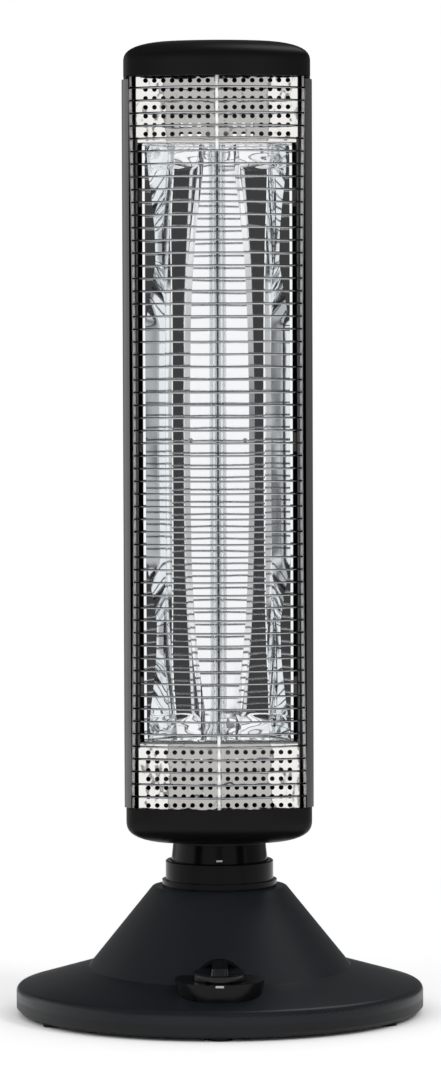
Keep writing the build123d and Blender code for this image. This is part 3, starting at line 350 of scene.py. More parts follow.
rubber = moulded(
    "moulded black rubber", "#0d0d0e", roughness=0.75, grain_mm=0.6, grain_height_mm=0.04, specular=0.3
)
ring_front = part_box("rubber_feet")[0][1]
pad_tree, entry = new_tree(
    "ring of pads",
    {
        "Count": "Int",
        "Ring Radius": "Float",
        "Pad Radius": "Float",
        "Pad Height": "Float",
        "Sides": "Int",
        "Material": "Material",
    },
)
ring = add_node(
    pad_tree, "GeometryNodeMeshCircle", {"Vertices": entry["Count"], "Radius": entry["Ring Radius"]}
)
pad = add_node(
    pad_tree,
    "GeometryNodeMeshCylinder",
    {"Vertices": entry["Sides"], "Radius": entry["Pad Radius"], "Depth": entry["Pad Height"]},
)
pads = add_node(
    pad_tree, "GeometryNodeInstanceOnPoints", {"Points": ring.outputs[0], "Instance": pad.outputs[0]}
)
half_height = add_node(pad_tree, "ShaderNodeMath", {0: entry["Pad Height"], 1: 0.5}, operation="MULTIPLY")
lift = add_node(pad_tree, "ShaderNodeCombineXYZ", {"Z": half_height.outputs[0]})
turned = add_node(
    pad_tree,
    "GeometryNodeTransform",
    {0: pads.outputs[0], "Translation": lift.outputs[0], "Rotation": (0, 0, math.pi / 2)},
)
close_tree(pad_tree, turned.outputs[0], entry["Material"])
pad_radius = 8 * MM
pad_height = 2.5 * MM
foot_pads = grow(
    "foot_pads",
    pad_tree,
    {
        "Count": 6,
        "Ring Radius": -ring_front - pad_radius,
        "Pad Radius": pad_radius,
        "Pad Height": pad_height,
        "Sides": 40,
        "Material": rubber,
    },
    corner_degrees=40,
)
seat(foot_pads, "rubber_feet")


# Swivel: the collar is screwed to the cone, and the neck turns inside it and carries the head.
# Both are turned-looking mouldings in black ABS from a polished mould.
# A small silver bar is coloured onto the front of the neck.
gloss_abs = moulded(
    "gloss moulded ABS", "#060607", roughness=0.16, grain_mm=2.2, grain_height_mm=0.006, specular=0.11
)

silver_bar_colour = "#a9abad"
bar_reach_back = -20 * MM


def add_silver_bar(material, height, half_length, half_thickness):
    """A silver bar in the material's colour, on the front side at a height."""
    tree = material.node_tree
    place = add_node(tree, "ShaderNodeTexCoord").outputs["Object"]
    axes = add_node(tree, "ShaderNodeSeparateXYZ", {0: place})
    across = add_node(
        tree, "ShaderNodeMath", {0: axes.outputs["X"], 1: 0.0, 2: half_length}, operation="COMPARE"
    )
    along = add_node(
        tree, "ShaderNodeMath", {0: axes.outputs["Z"], 1: height, 2: half_thickness}, operation="COMPARE"
    )
    ahead = add_node(
        tree, "ShaderNodeMath", {0: axes.outputs["Y"], 1: bar_reach_back}, operation="LESS_THAN"
    )
    bar = add_node(tree, "ShaderNodeMath", {0: across.outputs[0], 1: along.outputs[0]}, operation="MULTIPLY")
    bar_mask = add_node(tree, "ShaderNodeMath", {0: bar.outputs[0], 1: ahead.outputs[0]}, operation="MULTIPLY")
    shader = tree.nodes["Principled BSDF"]
    plain = tuple(shader.inputs["Base Color"].default_value)
    colour = add_node(
        tree, "ShaderNodeMix", {0: bar_mask.outputs[0], 6: plain, 7: linear(silver_bar_colour)}, data_type="RGBA"
    )
    tree.links.new(colour.outputs[2], shader.inputs["Base Color"])


neck_abs = moulded(
    "gloss moulded ABS with a silver bar",
    "#060607",
    roughness=0.16,
    grain_mm=2.2,
    grain_height_mm=0.006,
    specular=0.11,
)
# A small silver bar, 4.4 mm by 1.2 mm, is coloured onto the front of the neck.
add_silver_bar(neck_abs, height=115.4 * MM, half_length=2.2 * MM, half_thickness=0.6 * MM)
dress(gloss_abs, "collar")
dress(neck_abs, "neck")


# Dial: a round skirt with a grip across it, on an oval surround that is let into the foot.
# Both are moulded in gloss black ABS. A printed silver bar on the surround is the dial's index.
surround_abs = moulded(
    "gloss moulded ABS with an index bar",
    "#060607",
    roughness=0.2,
    grain_mm=2.2,
    grain_height_mm=0.006,
    specular=0.22,
)
add_silver_bar(surround_abs, height=37.2 * MM, half_length=2.9 * MM, half_thickness=0.75 * MM)
dial_abs = moulded(
    "polished moulded ABS", "#070708", roughness=0.12, grain_mm=2.2, grain_height_mm=0.004, specular=0.35
)
dress(surround_abs, "dial_surround")
dress(dial_abs, "control_dial")


# Caps: two mouldings with a straight band and a domed end, which hold the head's shell and frames
# between them. Satin black ABS, dark where the crown turns up to the ceiling.
head_half_width = 67.8 * MM
head_front = 58 * MM
head_back = 50 * MM
bow_radius = 130 * MM
front_corner_radius = 10 * MM
rear_corner_radius = 28 * MM
bow_centre = bow_radius - head_front
closest_points = 0.01 * MM
loft_merge_reach = 0.0005 * MM


def arc(centre, radius, start, end, steps):
    """Points of an arc, its angles in radians from +X."""
    angles = [start + (end - start) * step / steps for step in range(steps + 1)]
    return [(centre[0] + radius * math.cos(a), centre[1] + radius * math.sin(a)) for a in angles]


def head_outline():
    """The head seen from above as one closed loop: bowed front, straight sides, round rear corners."""
    corner_x = head_half_width - front_corner_radius
    corner_turn = math.asin(corner_x / (bow_radius - front_corner_radius))
    corner_y = bow_centre - (bow_radius - front_corner_radius) * math.cos(corner_turn)
    half = arc((0, bow_centre), bow_radius, -math.pi / 2, corner_turn - math.pi / 2, steps=14)
    half += arc((corner_x, corner_y), front_corner_radius, corner_turn - math.pi / 2, 0, steps=8)
    rear = (head_half_width - rear_corner_radius, head_back - rear_corner_radius)
    half += [(head_half_width, corner_y + (rear[1] - corner_y) * step / 6) for step in range(1, 6)]
    half += arc(rear, rear_corner_radius, 0, math.pi / 2, steps=12)
    half += [(rear[0] * step / 4, head_back) for step in (3, 2, 1, 0)]
    spaced = half[:1] + [q for p, q in zip(half, half[1:]) if math.dist(p, q) > closest_points]
    return spaced + [(-x, y) for x, y in reversed(spaced[1:-1])]


def loft(bm, rings, close_first=False, close_last=False):
    """Joins rings of equally many points into a skin; an end is closed by a face."""
    loops = [[bm.verts.new(point) for point in ring] for ring in rings]
    for lower, upper in zip(loops, loops[1:]):
        for i in range(len(lower)):
            j = (i + 1) % len(lower)
            bm.faces.new((lower[i], lower[j], upper[j], upper[i]))
    if close_first:
        bm.faces.new(list(reversed(loops[0])))
    if close_last:
        bm.faces.new(loops[-1])


def finish_mesh(name, bm, material, corner_degrees=30):
    """The mesh as an object, its faces outwards, its curves smooth and its corners sharp."""
    bmesh.ops.remove_doubles(bm, verts=bm.verts, dist=loft_merge_reach)
    bmesh.ops.recalc_face_normals(bm, faces=bm.faces)
    for face in bm.faces:
        face.smooth = True
    mesh = mesh_from(name, bm)
    mesh.set_sharp_from_angle(angle=math.radians(corner_degrees))
    mesh.materials.append(material)
    return add_object(name, mesh)


cap_ease = 0.5 * MM
cap_wall = 2.5 * MM
cap_pocket = 9 * MM
cap_wall_share = 1 - cap_wall / head_half_width
crown_shares = (0, 0.12, 0.24, 0.36, 0.47, 0.57, 0.66, 0.74, 0.81, 0.87, 0.915, 0.95, 0.975, 0.99, 1)
crown_rise_power = 2.6
crown_width_power = 3
crown_tip_share = 0.12
spigot_front = -40 * MM
spigot_gap = 1 * MM
spigot_share = 0.998


def cap_skin(edge, tip, crown_height):
    """A cap: a band with an eased edge, and a crown whose outline shrinks along a smooth curve."""
    way = 1 if tip > edge else -1
    outline = head_outline()
    eased = edge + way * cap_ease
    shoulder = tip - way * crown_height
    levels = [
        (edge + way * cap_pocket, cap_wall_share),
        (eased, cap_wall_share),
        (edge, cap_wall_share),
        (edge, 1 - cap_ease / head_half_width),
        (eased, 1.0),
    ]
    levels += [(eased + (shoulder - eased) * step / 3, 1.0) for step in (1, 2)]
    for rise in crown_shares:
        share = (1 - rise**crown_rise_power) ** (1 / crown_width_power)
        levels.append((shoulder + way * rise * crown_height, max(share, crown_tip_share)))
    rings = [[(x * share, y * share, z) for x, y in outline] for z, share in levels]
    bm = bmesh.new()
    loft(bm, rings, close_first=True, close_last=True)
    return bm


def add_spigot(bm, edge, end):
    """The cap's inner lip, open at the front, that the rear shell slides over."""
    back = [(x, y) for x, y in head_outline() if y > spigot_front]
    ring = [(x * spigot_share, y * spigot_share) for x, y in back]
    ring += [(x * cap_wall_share, y * cap_wall_share) for x, y in reversed(back)]
    loft(bm, [[(x, y, z) for x, y in ring] for z in (edge, end)], close_first=True, close_last=True)


cap_abs = moulded(
    "moulded black ABS", "#0a0a0c", roughness=0.38, grain_mm=1.4, grain_height_mm=0.01, specular=0.16
)
top_cap_height = 28 * MM
top_crown_height = 17 * MM
spigot_end, top_of_head = [corner[2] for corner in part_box("top_cap")]
upper_edge = top_of_head - top_cap_height
bm = cap_skin(upper_edge, top_of_head, top_crown_height)
add_spigot(bm, upper_edge + spigot_gap, spigot_end)
top_cap = finish_mesh("top_cap_skin", bm, cap_abs)
seat(top_cap, "top_cap")

# The bottom cap has a round seat in its middle that the neck's end is screwed to.
bottom_cap_height = 29 * MM
bottom_crown_height = 19 * MM
bottom_of_head, spigot_end = [corner[2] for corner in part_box("bottom_cap")]
lower_edge = bottom_of_head + bottom_cap_height
bm = cap_skin(lower_edge, bottom_of_head, bottom_crown_height)
add_spigot(bm, lower_edge - spigot_gap, spigot_end)
neck_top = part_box("neck")[1][2]
seat_radius = 35 * MM
seat_height = 6 * MM
seat_ease = 0.3 * MM
seat_sides = 64
seat_levels = (
    (neck_top + seat_height, seat_radius),
    (neck_top + seat_ease, seat_radius),
    (neck_top, seat_radius - seat_ease),
)
last_turn = 2 * math.pi * (seat_sides - 1) / seat_sides
seat_rings = [
    [(x, y, z) for x, y in arc((0, 0), radius, 0, last_turn, steps=seat_sides - 1)]
    for z, radius in seat_levels
]
loft(bm, seat_rings, close_first=True, close_last=True)
bottom_cap = finish_mesh("bottom_cap_skin", bm, cap_abs)
seat(bottom_cap, "bottom_cap")


# Rear shell and side frames: bent steel sheet, sprayed satin black and stoved. The paint has a
# slight orange peel that softens what it mirrors.
peel_size = 1.8 * MM
peel_height = 0.02 * MM
satin_enamel, tree, shader, place = new_material("satin black stove enamel")
peel = add_node(tree, "ShaderNodeTexNoise", {"Vector": place, "Scale": 1 / peel_size, "Detail": 1.0})
bump = add_node(
    tree, "ShaderNodeBump", {"Height": peel.outputs[0], "Distance": peel_height, "Strength": 0.6}
)
shader.inputs["Base Color"].default_value = linear("#1a1918")
shader.inputs["Roughness"].default_value = 0.3
shader.inputs["IOR"].default_value = 1.9
tree.links.new(bump.outputs[0], shader.inputs["Normal"])
dress(satin_enamel, "rear_shell", "side_frame_left", "side_frame_right")


# Mirror trough: one sheet of bright rolled aluminium, folded lengthwise into flat panels and a
# nearly flat middle. The thin sheet is slightly wavy, and it crinkles where its ends are pinched.
def bright_metal(name, colour, roughness, streak_mm, streak_length_mm, streak_share):
    """A bright metal whose roughness varies a little in streaks along its length."""
    material, tree, shader, place = new_material(name)
    across, along = 1 / (streak_mm * MM), 1 / (streak_length_mm * MM)
    stretched = add_node(tree, "ShaderNodeMapping", {"Vector": place, "Scale": (across, across, along)})
    streaks = add_node(
        tree, "ShaderNodeTexNoise", {"Vector": stretched.outputs[0], "Scale": 1.0, "Detail": 3.0}
    )
    gloss = add_node(
        tree,
        "ShaderNodeMapRange",
        {
            "Value": streaks.outputs[0],
            "From Min": 0.3,
            "From Max": 0.7,
            "To Min": roughness,
            "To Max": roughness * (1 + streak_share),
        },
    )
    shader.inputs["Base Color"].default_value = linear(colour)
    shader.inputs["Metallic"].default_value = 1.0
    tree.links.new(gloss.outputs[0], shader.inputs["Roughness"])
    return material


mirror_metal = bright_metal(
    "bright rolled aluminium",
    "#f5f7f8",
    roughness=0.03,
    streak_mm=1.5,
    streak_length_mm=60,
    streak_share=0.8,
)
mirror_low, mirror_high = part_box("reflector")
mirror_sheet = 0.4 * MM
# At each distance from the nearer end: how far in the outer facet reaches, and then the outer and the
# inner edge of the facet that is turned to the dark, on the left and on the right.
fold_keys = (
    (0, 51.5, (30.0, 13.0), (36.0, 16.0)),
    (20, 50.0, (31.5, 14.5), (36.5, 17.0)),
    (40, 47.5, (33.0, 17.0), (36.0, 19.5)),
    (62, 45.5, (33.8, 19.5), (35.0, 22.0)),
    (85, 45.0, (33.5, 21.5), (34.5, 24.0)),
    (105, 48.0, (33.2, 22.7), (34.0, 25.0)),
    (130, 52.5, (33.0, 23.7), (33.7, 26.0)),
    (180, 52.5, (33.0, 24.4), (33.5, 26.9)),
    (999, 52.5, (33.0, 24.4), (33.5, 26.9)),
)
# The panels from the outer edge to the middle: how many strips each has, and the widths in
# millimetres and slopes in degrees that stay the same along the trough.
panel_steps = (1, 4, 8, 4, 1, 6, 3, 10)
trough_half_width = 54.4
rim_width = 1.8
rim_slope = 8
facet_slope = 27
wall_depth = 22.0
riser_width = 4.7
riser_slope = 44
ledge_width = 0.8
ease_width = 4
ease_slope = 21
middle_slope = 4.1
trough_depth = 34.8
# The facet that is turned to the dark gets flatter near the ends, where it mirrors the white panel.
flattened_length = 16
flattened_by = 12
flattened_power = 0.5


def sloped(run, degrees):
    """How much deeper a panel gets over its width."""
    return run * math.tan(math.radians(degrees))


def fold_profile(from_end, side):
    """Half of the trough's section: points from its outer edge to its middle, in millimetres."""
    number = next(i for i, key in enumerate(fold_keys) if key[0] > from_end)
    first, last = fold_keys[number - 1], fold_keys[number]
    mix = (from_end - first[0]) / (last[0] - first[0])
    facet = first[1] + (last[1] - first[1]) * mix
    outer, inner = [a + (b - a) * mix for a, b in zip(first[2 + side], last[2 + side])]
    rim = trough_half_width - rim_width
    ledge = outer + ledge_width
    riser = ledge + riser_width
    reached = sloped(rim_width, rim_slope) + sloped(rim - facet, facet_slope)
    wall_slope = math.degrees(math.atan2(wall_depth - reached, facet - riser))
    flattened = max(0.0, 1 - from_end / flattened_length) ** flattened_power
    dark_slope = facet_slope - flattened_by * flattened
    folds = (trough_half_width, rim, facet, riser, ledge, outer, inner, inner - ease_width, 0.0)
    slopes = (rim_slope, facet_slope, wall_slope, riser_slope)
    slopes += (rim_slope, dark_slope, ease_slope, middle_slope)
    points = []
    depth = 0.0
    for start, end, slope, steps in zip(folds, folds[1:], slopes, panel_steps):
        for step in range(steps):
            along = (start - end) * step / steps
            points.append((start - along, depth + sloped(along, slope)))
        depth += sloped(start - end, slope)
    points.append((0.0, depth))
    return [(x, y * trough_depth / depth) for x, y in points]


# The waves, in millimetres: how high they stand, how long they are across and along the sheet, and
# which layer of the noise they are read from.
still_edge = 52.5
slow_wave = (0.08, 24, 34, 1.3)
pinched_wave = (0.6, 16, 8, 4.1)
pinched_length = 24
pinch_power = 1.2


def wave(x_mm, z_mm, shape):
    """One layer of waves over the sheet."""
    height, across, along, layer = shape
    return height * noise.noise(Vector((x_mm / across, z_mm / along, layer)))


def waviness(x_mm, z_mm, from_end):
    """How far the sheet stands off its folds there, in millimetres."""
    if abs(x_mm) > still_edge:
        return 0.0
    pinched = max(0.0, 1 - from_end / pinched_length) ** pinch_power
    return wave(x_mm, z_mm, slow_wave) + pinched * wave(x_mm, z_mm, pinched_wave)


length_mm = (mirror_high[2] - mirror_low[2]) / MM
fine_length = 30
fine_step = 1.2
coarse_step = 2.5
heights_mm = [0.0]
while length_mm - heights_mm[-1] > closest_points / MM:
    from_end = min(heights_mm[-1], length_mm - heights_mm[-1])
    step = fine_step if from_end < fine_length else coarse_step
    heights_mm.append(min(heights_mm[-1] + step, length_mm))
bm = bmesh.new()
rows = []
for height_mm in heights_mm:
    from_end = min(height_mm, length_mm - height_mm)
    section = [(-x, y) for x, y in fold_profile(from_end, 0)]
    section += list(reversed(fold_profile(from_end, 1)[:-1]))
    row = []
    for x, y in section:
        stand = waviness(x, height_mm, from_end)
        row.append(bm.verts.new((x * MM, mirror_low[1] + (y + stand) * MM, mirror_low[2] + height_mm * MM)))
    rows.append(row)
for lower, upper in zip(rows, rows[1:]):
    for i in range(len(lower) - 1):
        bm.faces.new((lower[i], lower[i + 1], upper[i + 1], upper[i]))
fold_columns = [sum(panel_steps[:count]) for count in range(len(panel_steps))]
for lower, upper in zip(rows, rows[1:]):
    for column in fold_columns:
        for i in (column, len(lower) - 1 - column):
            bm.edges.get((lower[i], upper[i])).smooth = False
for face in bm.faces:
    face.smooth = True
mirror = add_object("mirror_trough", mesh_from("mirror_trough", bm))
mirror.data.materials.append(mirror_metal)
thickness = mirror.modifiers.new("sheet", "SOLIDIFY")
thickness.thickness = mirror_sheet
thickness.offset = -1
seat(mirror, "reflector")
for node in ("trough_end_upper", "trough_end_lower"):
    cad[node].data.materials.clear()
    cad[node].data.materials.append(mirror_metal)


# Heating tube: clear fused quartz, drawn, with a carbon fibre cord stretched along its axis.
# Its ends sit in blocks of fired steatite behind the end plates.
quartz, _, shader, _ = new_material("drawn quartz glass")
shader.inputs["Base Color"].default_value = linear("#f7f9fa")
shader.inputs["Transmission Weight"].default_value = 1.0
shader.inputs["IOR"].default_value = 1.46
shader.inputs["Roughness"].default_value = 0.02
dress(quartz, "quartz_tube")

carbon = moulded("carbon fibre cord", "#3c3c40", roughness=0.5, grain_mm=0.3, grain_height_mm=0.05)
steatite = moulded("fired steatite", "#dcd6c8", roughness=0.7, grain_mm=0.5, grain_height_mm=0.03)
dress(carbon, "carbon_filament")
dress(steatite, "tube_holder_upper", "tube_holder_lower")


# Perforated plates: satin stainless sheet with rows of pierced round holes, over each end of the
# trough. The inner edge is bent back to a slanted lip.
# The sheet springs back a little at its sides and leans out at the bottom, so these parts mirror
# another side of the room. Small dents from the piercing make the limit uneven.
satin_steel = bright_metal(
    "satin stainless sheet", "#f1efec", roughness=0.06, streak_mm=14, streak_length_mm=14, streak_share=0.5
)
spring_from = 37 * MM
spring_ease = 4 * MM
spring_slope = -0.07
lean_below = 205 * MM
lean_slope = 0.08
dent_size = 16 * MM
dent_depth = 0.8 * MM
tree = satin_steel.node_tree
place = add_node(tree, "ShaderNodeTexCoord").outputs["Object"]
axes = add_node(tree, "ShaderNodeSeparateXYZ", {0: place})
aside = add_node(tree, "ShaderNodeMath", {0: axes.outputs["X"]}, operation="ABSOLUTE")
past = add_node(tree, "ShaderNodeMath", {0: aside.outputs[0], 1: spring_from}, operation="SUBTRACT")
eased = add_node(tree, "ShaderNodeMath", {0: past.outputs[0], 1: 0.0, 2: spring_ease}, operation="SMOOTH_MAX")
fall = add_node(tree, "ShaderNodeMath", {0: eased.outputs[0], 1: spring_slope}, operation="MULTIPLY")
below = add_node(tree, "ShaderNodeMath", {0: lean_below, 1: axes.outputs["Z"]}, operation="SUBTRACT")
low_plate = add_node(tree, "ShaderNodeMath", {0: below.outputs[0], 1: 0.0}, operation="MAXIMUM")
leaning = add_node(
    tree,
    "ShaderNodeMath",
    {0: low_plate.outputs[0], 1: lean_slope, 2: fall.outputs[0]},
    operation="MULTIPLY_ADD",
)
dents = add_node(tree, "ShaderNodeTexNoise", {"Vector": place, "Scale": 1 / dent_size, "Detail": 2.0})
uneven = add_node(
    tree,
    "ShaderNodeMath",
    {0: dents.outputs[0], 1: dent_depth, 2: leaning.outputs[0]},
    operation="MULTIPLY_ADD",
)
bump = add_node(tree, "ShaderNodeBump", {"Height": uneven.outputs[0], "Distance": 1.0, "Strength": 1.0})
tree.links.new(bump.outputs[0], tree.nodes["Principled BSDF"].inputs["Normal"])
plate_tree, entry = new_tree(
    "pierced plate",
    {
        "Width": "Float",
        "Height": "Float",
        "Field Rise": "Float",
        "Columns": "Int",
        "Rows": "Int",
        "Pitch": "Float",
        "Hole Radius": "Float",
        "Hole Sides": "Int",
        "Merge Reach": "Float",
        "Thickness": "Float",
        "Place": "Vector",
        "Material": "Material",
    },
)
outline = add_node(
    plate_tree,
    "GeometryNodeCurvePrimitiveQuadrilateral",
    {"Width": entry["Width"], "Height": entry["Height"]},
)
spans = []
for count in (entry["Columns"], entry["Rows"]):
    gaps = add_node(plate_tree, "ShaderNodeMath", {0: count, 1: 1.0}, operation="SUBTRACT")
    span = add_node(
        plate_tree, "ShaderNodeMath", {0: gaps.outputs[0], 1: entry["Pitch"]}, operation="MULTIPLY"
    )
    spans.append(span)
field = add_node(
    plate_tree,
    "GeometryNodeMeshGrid",
    {
        "Size X": spans[0].outputs[0],
        "Size Y": spans[1].outputs[0],
        "Vertices X": entry["Columns"],
        "Vertices Y": entry["Rows"],
    },
)
rise = add_node(plate_tree, "ShaderNodeCombineXYZ", {"Y": entry["Field Rise"]})
raised = add_node(plate_tree, "GeometryNodeTransform", {0: field.outputs[0], "Translation": rise.outputs[0]})
hole = add_node(
    plate_tree,
    "GeometryNodeCurvePrimitiveCircle",
    {"Resolution": entry["Hole Sides"], "Radius": entry["Hole Radius"]},
)
holes = add_node(
    plate_tree, "GeometryNodeInstanceOnPoints", {"Points": raised.outputs[0], "Instance": hole.outputs[0]}
)
pierced = add_node(plate_tree, "GeometryNodeJoinGeometry", {0: outline.outputs[0]})
real_holes = add_node(plate_tree, "GeometryNodeRealizeInstances", {0: holes.outputs[0]})
plate_tree.links.new(real_holes.outputs[0], pierced.inputs[0])
filled = add_node(plate_tree, "GeometryNodeFillCurve", {0: pierced.outputs[0]}, mode="TRIANGLES")
sheet = add_node(
    plate_tree,
    "GeometryNodeExtrudeMesh",
    {"Mesh": filled.outputs[0], "Offset Scale": entry["Thickness"], "Individual": False},
)
back = add_node(plate_tree, "GeometryNodeFlipFaces", {0: filled.outputs[0]})
both = add_node(plate_tree, "GeometryNodeJoinGeometry", {0: sheet.outputs[0]})
plate_tree.links.new(back.outputs[0], both.inputs[0])
closed = add_node(
    plate_tree, "GeometryNodeMergeByDistance", {0: both.outputs[0], "Distance": entry["Merge Reach"]}
)
stood = add_node(
    plate_tree,
    "GeometryNodeTransform",
    {0: closed.outputs[0], "Translation": entry["Place"], "Rotation": (math.pi / 2, 0, 0)},
)
with_lip = add_node(plate_tree, "GeometryNodeJoinGeometry", {0: stood.outputs[0]})
plate_tree.links.new(entry["Geometry"], with_lip.inputs[0])
close_tree(plate_tree, with_lip.outputs[0], entry["Material"])

lip_height = 5.5 * MM
lip_half = 57.5 * MM
plate_sheet = 0.8 * MM
# The lip leaves the plate flat and then rolls back: its height in shares, and how late it rolls.
lip_shares = (0, 0.3, 0.5, 0.65, 0.77, 0.86, 0.93, 1)
roll_power = 7
upper_field = upper_edge - 22 * MM
lower_field = lower_edge + 20.8 * MM
for node, way, field_height in (("upper_plate", 1, upper_field), ("lower_plate", -1, lower_field)):
    low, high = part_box(node)
    outer_edge, lip_end = (high[2], low[2]) if way > 0 else (low[2], high[2])
    inner_edge = lip_end + way * lip_height
    lip_depth = high[1] - low[1] - plate_sheet
    rolled = [
        (low[1] + share**roll_power * lip_depth, inner_edge - way * share * lip_height)
        for share in lip_shares
    ]
    lip = rolled + [(y + plate_sheet, z) for y, z in reversed(rolled)]
    bm = bmesh.new()
    loft(bm, [[(x, y, z) for y, z in lip] for x in (-lip_half, lip_half)], close_first=True, close_last=True)
    bmesh.ops.recalc_face_normals(bm, faces=bm.faces)
    middle = (outer_edge + inner_edge) / 2
    plate = grow(
        node + "_sheet",
        plate_tree,
        {
            "Width": high[0] - low[0],
            "Height": abs(outer_edge - inner_edge),
            "Field Rise": field_height - middle,
            "Columns": 17,
            "Rows": 7,
            "Pitch": 6.45 * MM,
            "Hole Radius": 1.75 * MM,
            "Hole Sides": 14,
            "Merge Reach": 0.001 * MM,
            "Thickness": plate_sheet,
            "Place": (0, low[1] + plate_sheet, middle),
            "Material": satin_steel,
        },
        start=mesh_from(node + "_lip", bm),
        corner_degrees=35,
    )
    seat(plate, node)


# Guard: steel wires, bent to the caps' bow and welded behind to a rod on each side, then chromed
# together. The side rods bow in towards half height, so the wires get shorter there.
chrome = bright_metal(
    "bright chrome plate", "#b9bbbe", roughness=0.1, streak_mm=3, streak_length_mm=12, streak_share=0.6
)
guard_tree, entry = new_tree(
    "welded guard",
    {
        "Wires": "Int",
        "Lowest": "Float",
        "Pitch": "Float",
        "Waist Share": "Float",
        "Wire Radius": "Float",
        "Sides": "Int",
        "Material": "Material",
    },
)
step_up = add_node(guard_tree, "ShaderNodeCombineXYZ", {"Z": entry["Pitch"]})
first = add_node(guard_tree, "ShaderNodeCombineXYZ", {"Z": entry["Lowest"]})
ladder = add_node(
    guard_tree,
    "GeometryNodeMeshLine",
    {"Count": entry["Wires"], "Start Location": first.outputs[0], "Offset": step_up.outputs[0]},
)
gaps = add_node(guard_tree, "ShaderNodeMath", {0: entry["Wires"], 1: 1.0}, operation="SUBTRACT")
number = add_node(guard_tree, "GeometryNodeInputIndex")
share = add_node(guard_tree, "ShaderNodeMath", {0: number.outputs[0], 1: gaps.outputs[0]}, operation="DIVIDE")
off_middle = add_node(
    guard_tree, "ShaderNodeMath", {0: share.outputs[0], 1: 2.0, 2: -1.0}, operation="MULTIPLY_ADD"
)
squared = add_node(guard_tree, "ShaderNodeMath", {0: off_middle.outputs[0], 1: 2.0}, operation="POWER")
drawn_in = add_node(guard_tree, "ShaderNodeMath", {0: 1.0, 1: squared.outputs[0]}, operation="SUBTRACT")
shorter = add_node(
    guard_tree, "ShaderNodeMath", {0: drawn_in.outputs[0], 1: entry["Waist Share"]}, operation="MULTIPLY"
)
width_share = add_node(guard_tree, "ShaderNodeMath", {0: 1.0, 1: shorter.outputs[0]}, operation="SUBTRACT")
wire_scale = add_node(guard_tree, "ShaderNodeCombineXYZ", {"X": width_share.outputs[0], "Y": 1.0, "Z": 1.0})
path = add_node(guard_tree, "GeometryNodeMeshToCurve", {0: entry["Geometry"]})
wires = add_node(
    guard_tree,
    "GeometryNodeInstanceOnPoints",
    {"Points": ladder.outputs[0], "Instance": path.outputs[0], "Scale": wire_scale.outputs[0]},
)
real_wires = add_node(guard_tree, "GeometryNodeRealizeInstances", {0: wires.outputs[0]})


def sweep(tree, entry, path):
    """Ends a tree with a round wire along its path."""
    section = add_node(
        tree,
        "GeometryNodeCurvePrimitiveCircle",
        {"Resolution": entry["Sides"], "Radius": entry["Wire Radius"]},
    )
    swept = add_node(
        tree,
        "GeometryNodeCurveToMesh",
        {"Curve": path, "Profile Curve": section.outputs[0], "Fill Caps": True},
    )
    close_tree(tree, swept.outputs[0], entry["Material"])


sweep(guard_tree, entry, real_wires.outputs[0])


def path_mesh(name, points):
    """An open line of edges through points."""
    mesh = bpy.data.meshes.new(name)
    mesh.from_pydata(points, [(i, i + 1) for i in range(len(points) - 1)], [])
    return mesh


guard_low, guard_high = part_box("guard_wires")
wire_radius = 0.75 * MM
wire_count = 57
waist = 2.5 * MM
reach = guard_high[0] - wire_radius
bow = -guard_low[1] - wire_radius
bend_radius = 3 * MM
wire_bow_radius = bow_radius - (head_front - bow)
leg_end = guard_high[1]
bend_turn = math.asin((reach - bend_radius) / (wire_bow_radius - bend_radius))
bend_y = bow_centre - (wire_bow_radius - bend_radius) * math.cos(bend_turn)
half = arc((0, bow_centre), wire_bow_radius, -math.pi / 2, bend_turn - math.pi / 2, steps=10)
half += arc((reach - bend_radius, bend_y), bend_radius, bend_turn - math.pi / 2, 0, steps=4)[1:]
half.append((reach, leg_end))
wire_points = [(-x, y, 0) for x, y in reversed(half[1:])] + [(x, y, 0) for x, y in half]
lowest = guard_low[2] + wire_radius
pitch = (guard_high[2] - guard_low[2] - 2 * wire_radius) / (wire_count - 1)
guard = grow(
    "guard_wire_ladder",
    guard_tree,
    {
        "Wires": wire_count,
        "Lowest": lowest,
        "Pitch": pitch,
        "Waist Share": waist / reach,
        "Wire Radius": wire_radius,
        "Sides": 8,
        "Material": chrome,
    },
    start=path_mesh("wire_path", wire_points),
    corner_degrees=60,
)
seat(guard, "guard_wires")

# The two side rods and the two short middle rods, behind the wires, are drawn wire of their own
# gauges. Their plating is dull and pale, so it is shaded mostly as a matt surface that gathers
# light from all round.
dull_chrome = bright_metal(
    "dull chrome plate on drawn wire",
    "#f4f4f5",
    roughness=0.5,
    streak_mm=3,
    streak_length_mm=12,
    streak_share=0.2,
)
dull_chrome.node_tree.nodes["Principled BSDF"].inputs["Metallic"].default_value = 0.1
rod_tree, entry = new_tree("drawn rod", {"Wire Radius": "Float", "Sides": "Int", "Material": "Material"})
path = add_node(rod_tree, "GeometryNodeMeshToCurve", {0: entry["Geometry"]})
sweep(rod_tree, entry, path.outputs[0])

rod_low, rod_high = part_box("guard_side_rods")
rod_radius = 1.4 * MM
rod_y = (rod_low[1] + rod_high[1]) / 2
guard_middle = (guard_low[2] + guard_high[2]) / 2
guard_half = (guard_high[2] - guard_low[2]) / 2
rod_steps = 24
rod_rise = (rod_high[2] - rod_low[2]) / rod_steps
rod_heights = [rod_low[2] + rod_rise * step for step in range(rod_steps + 1)]
rod_mesh = bpy.data.meshes.new("side_rod_paths")
rod_points = [
    (side * (reach - waist * max(0, 1 - ((z - guard_middle) / guard_half) ** 2)), rod_y, z)
    for side in (-1, 1)
    for z in rod_heights
]
rod_edges = [(i, i + 1) for i in range(len(rod_points) - 1) if i != len(rod_heights) - 1]
rod_mesh.from_pydata(rod_points, rod_edges, [])
side_rods = grow(
    "side_rods",
    rod_tree,
    {"Wire Radius": rod_radius, "Sides": 16, "Material": dull_chrome},
    start=rod_mesh,
    corner_degrees=60,
)
seat(side_rods, "guard_side_rods")

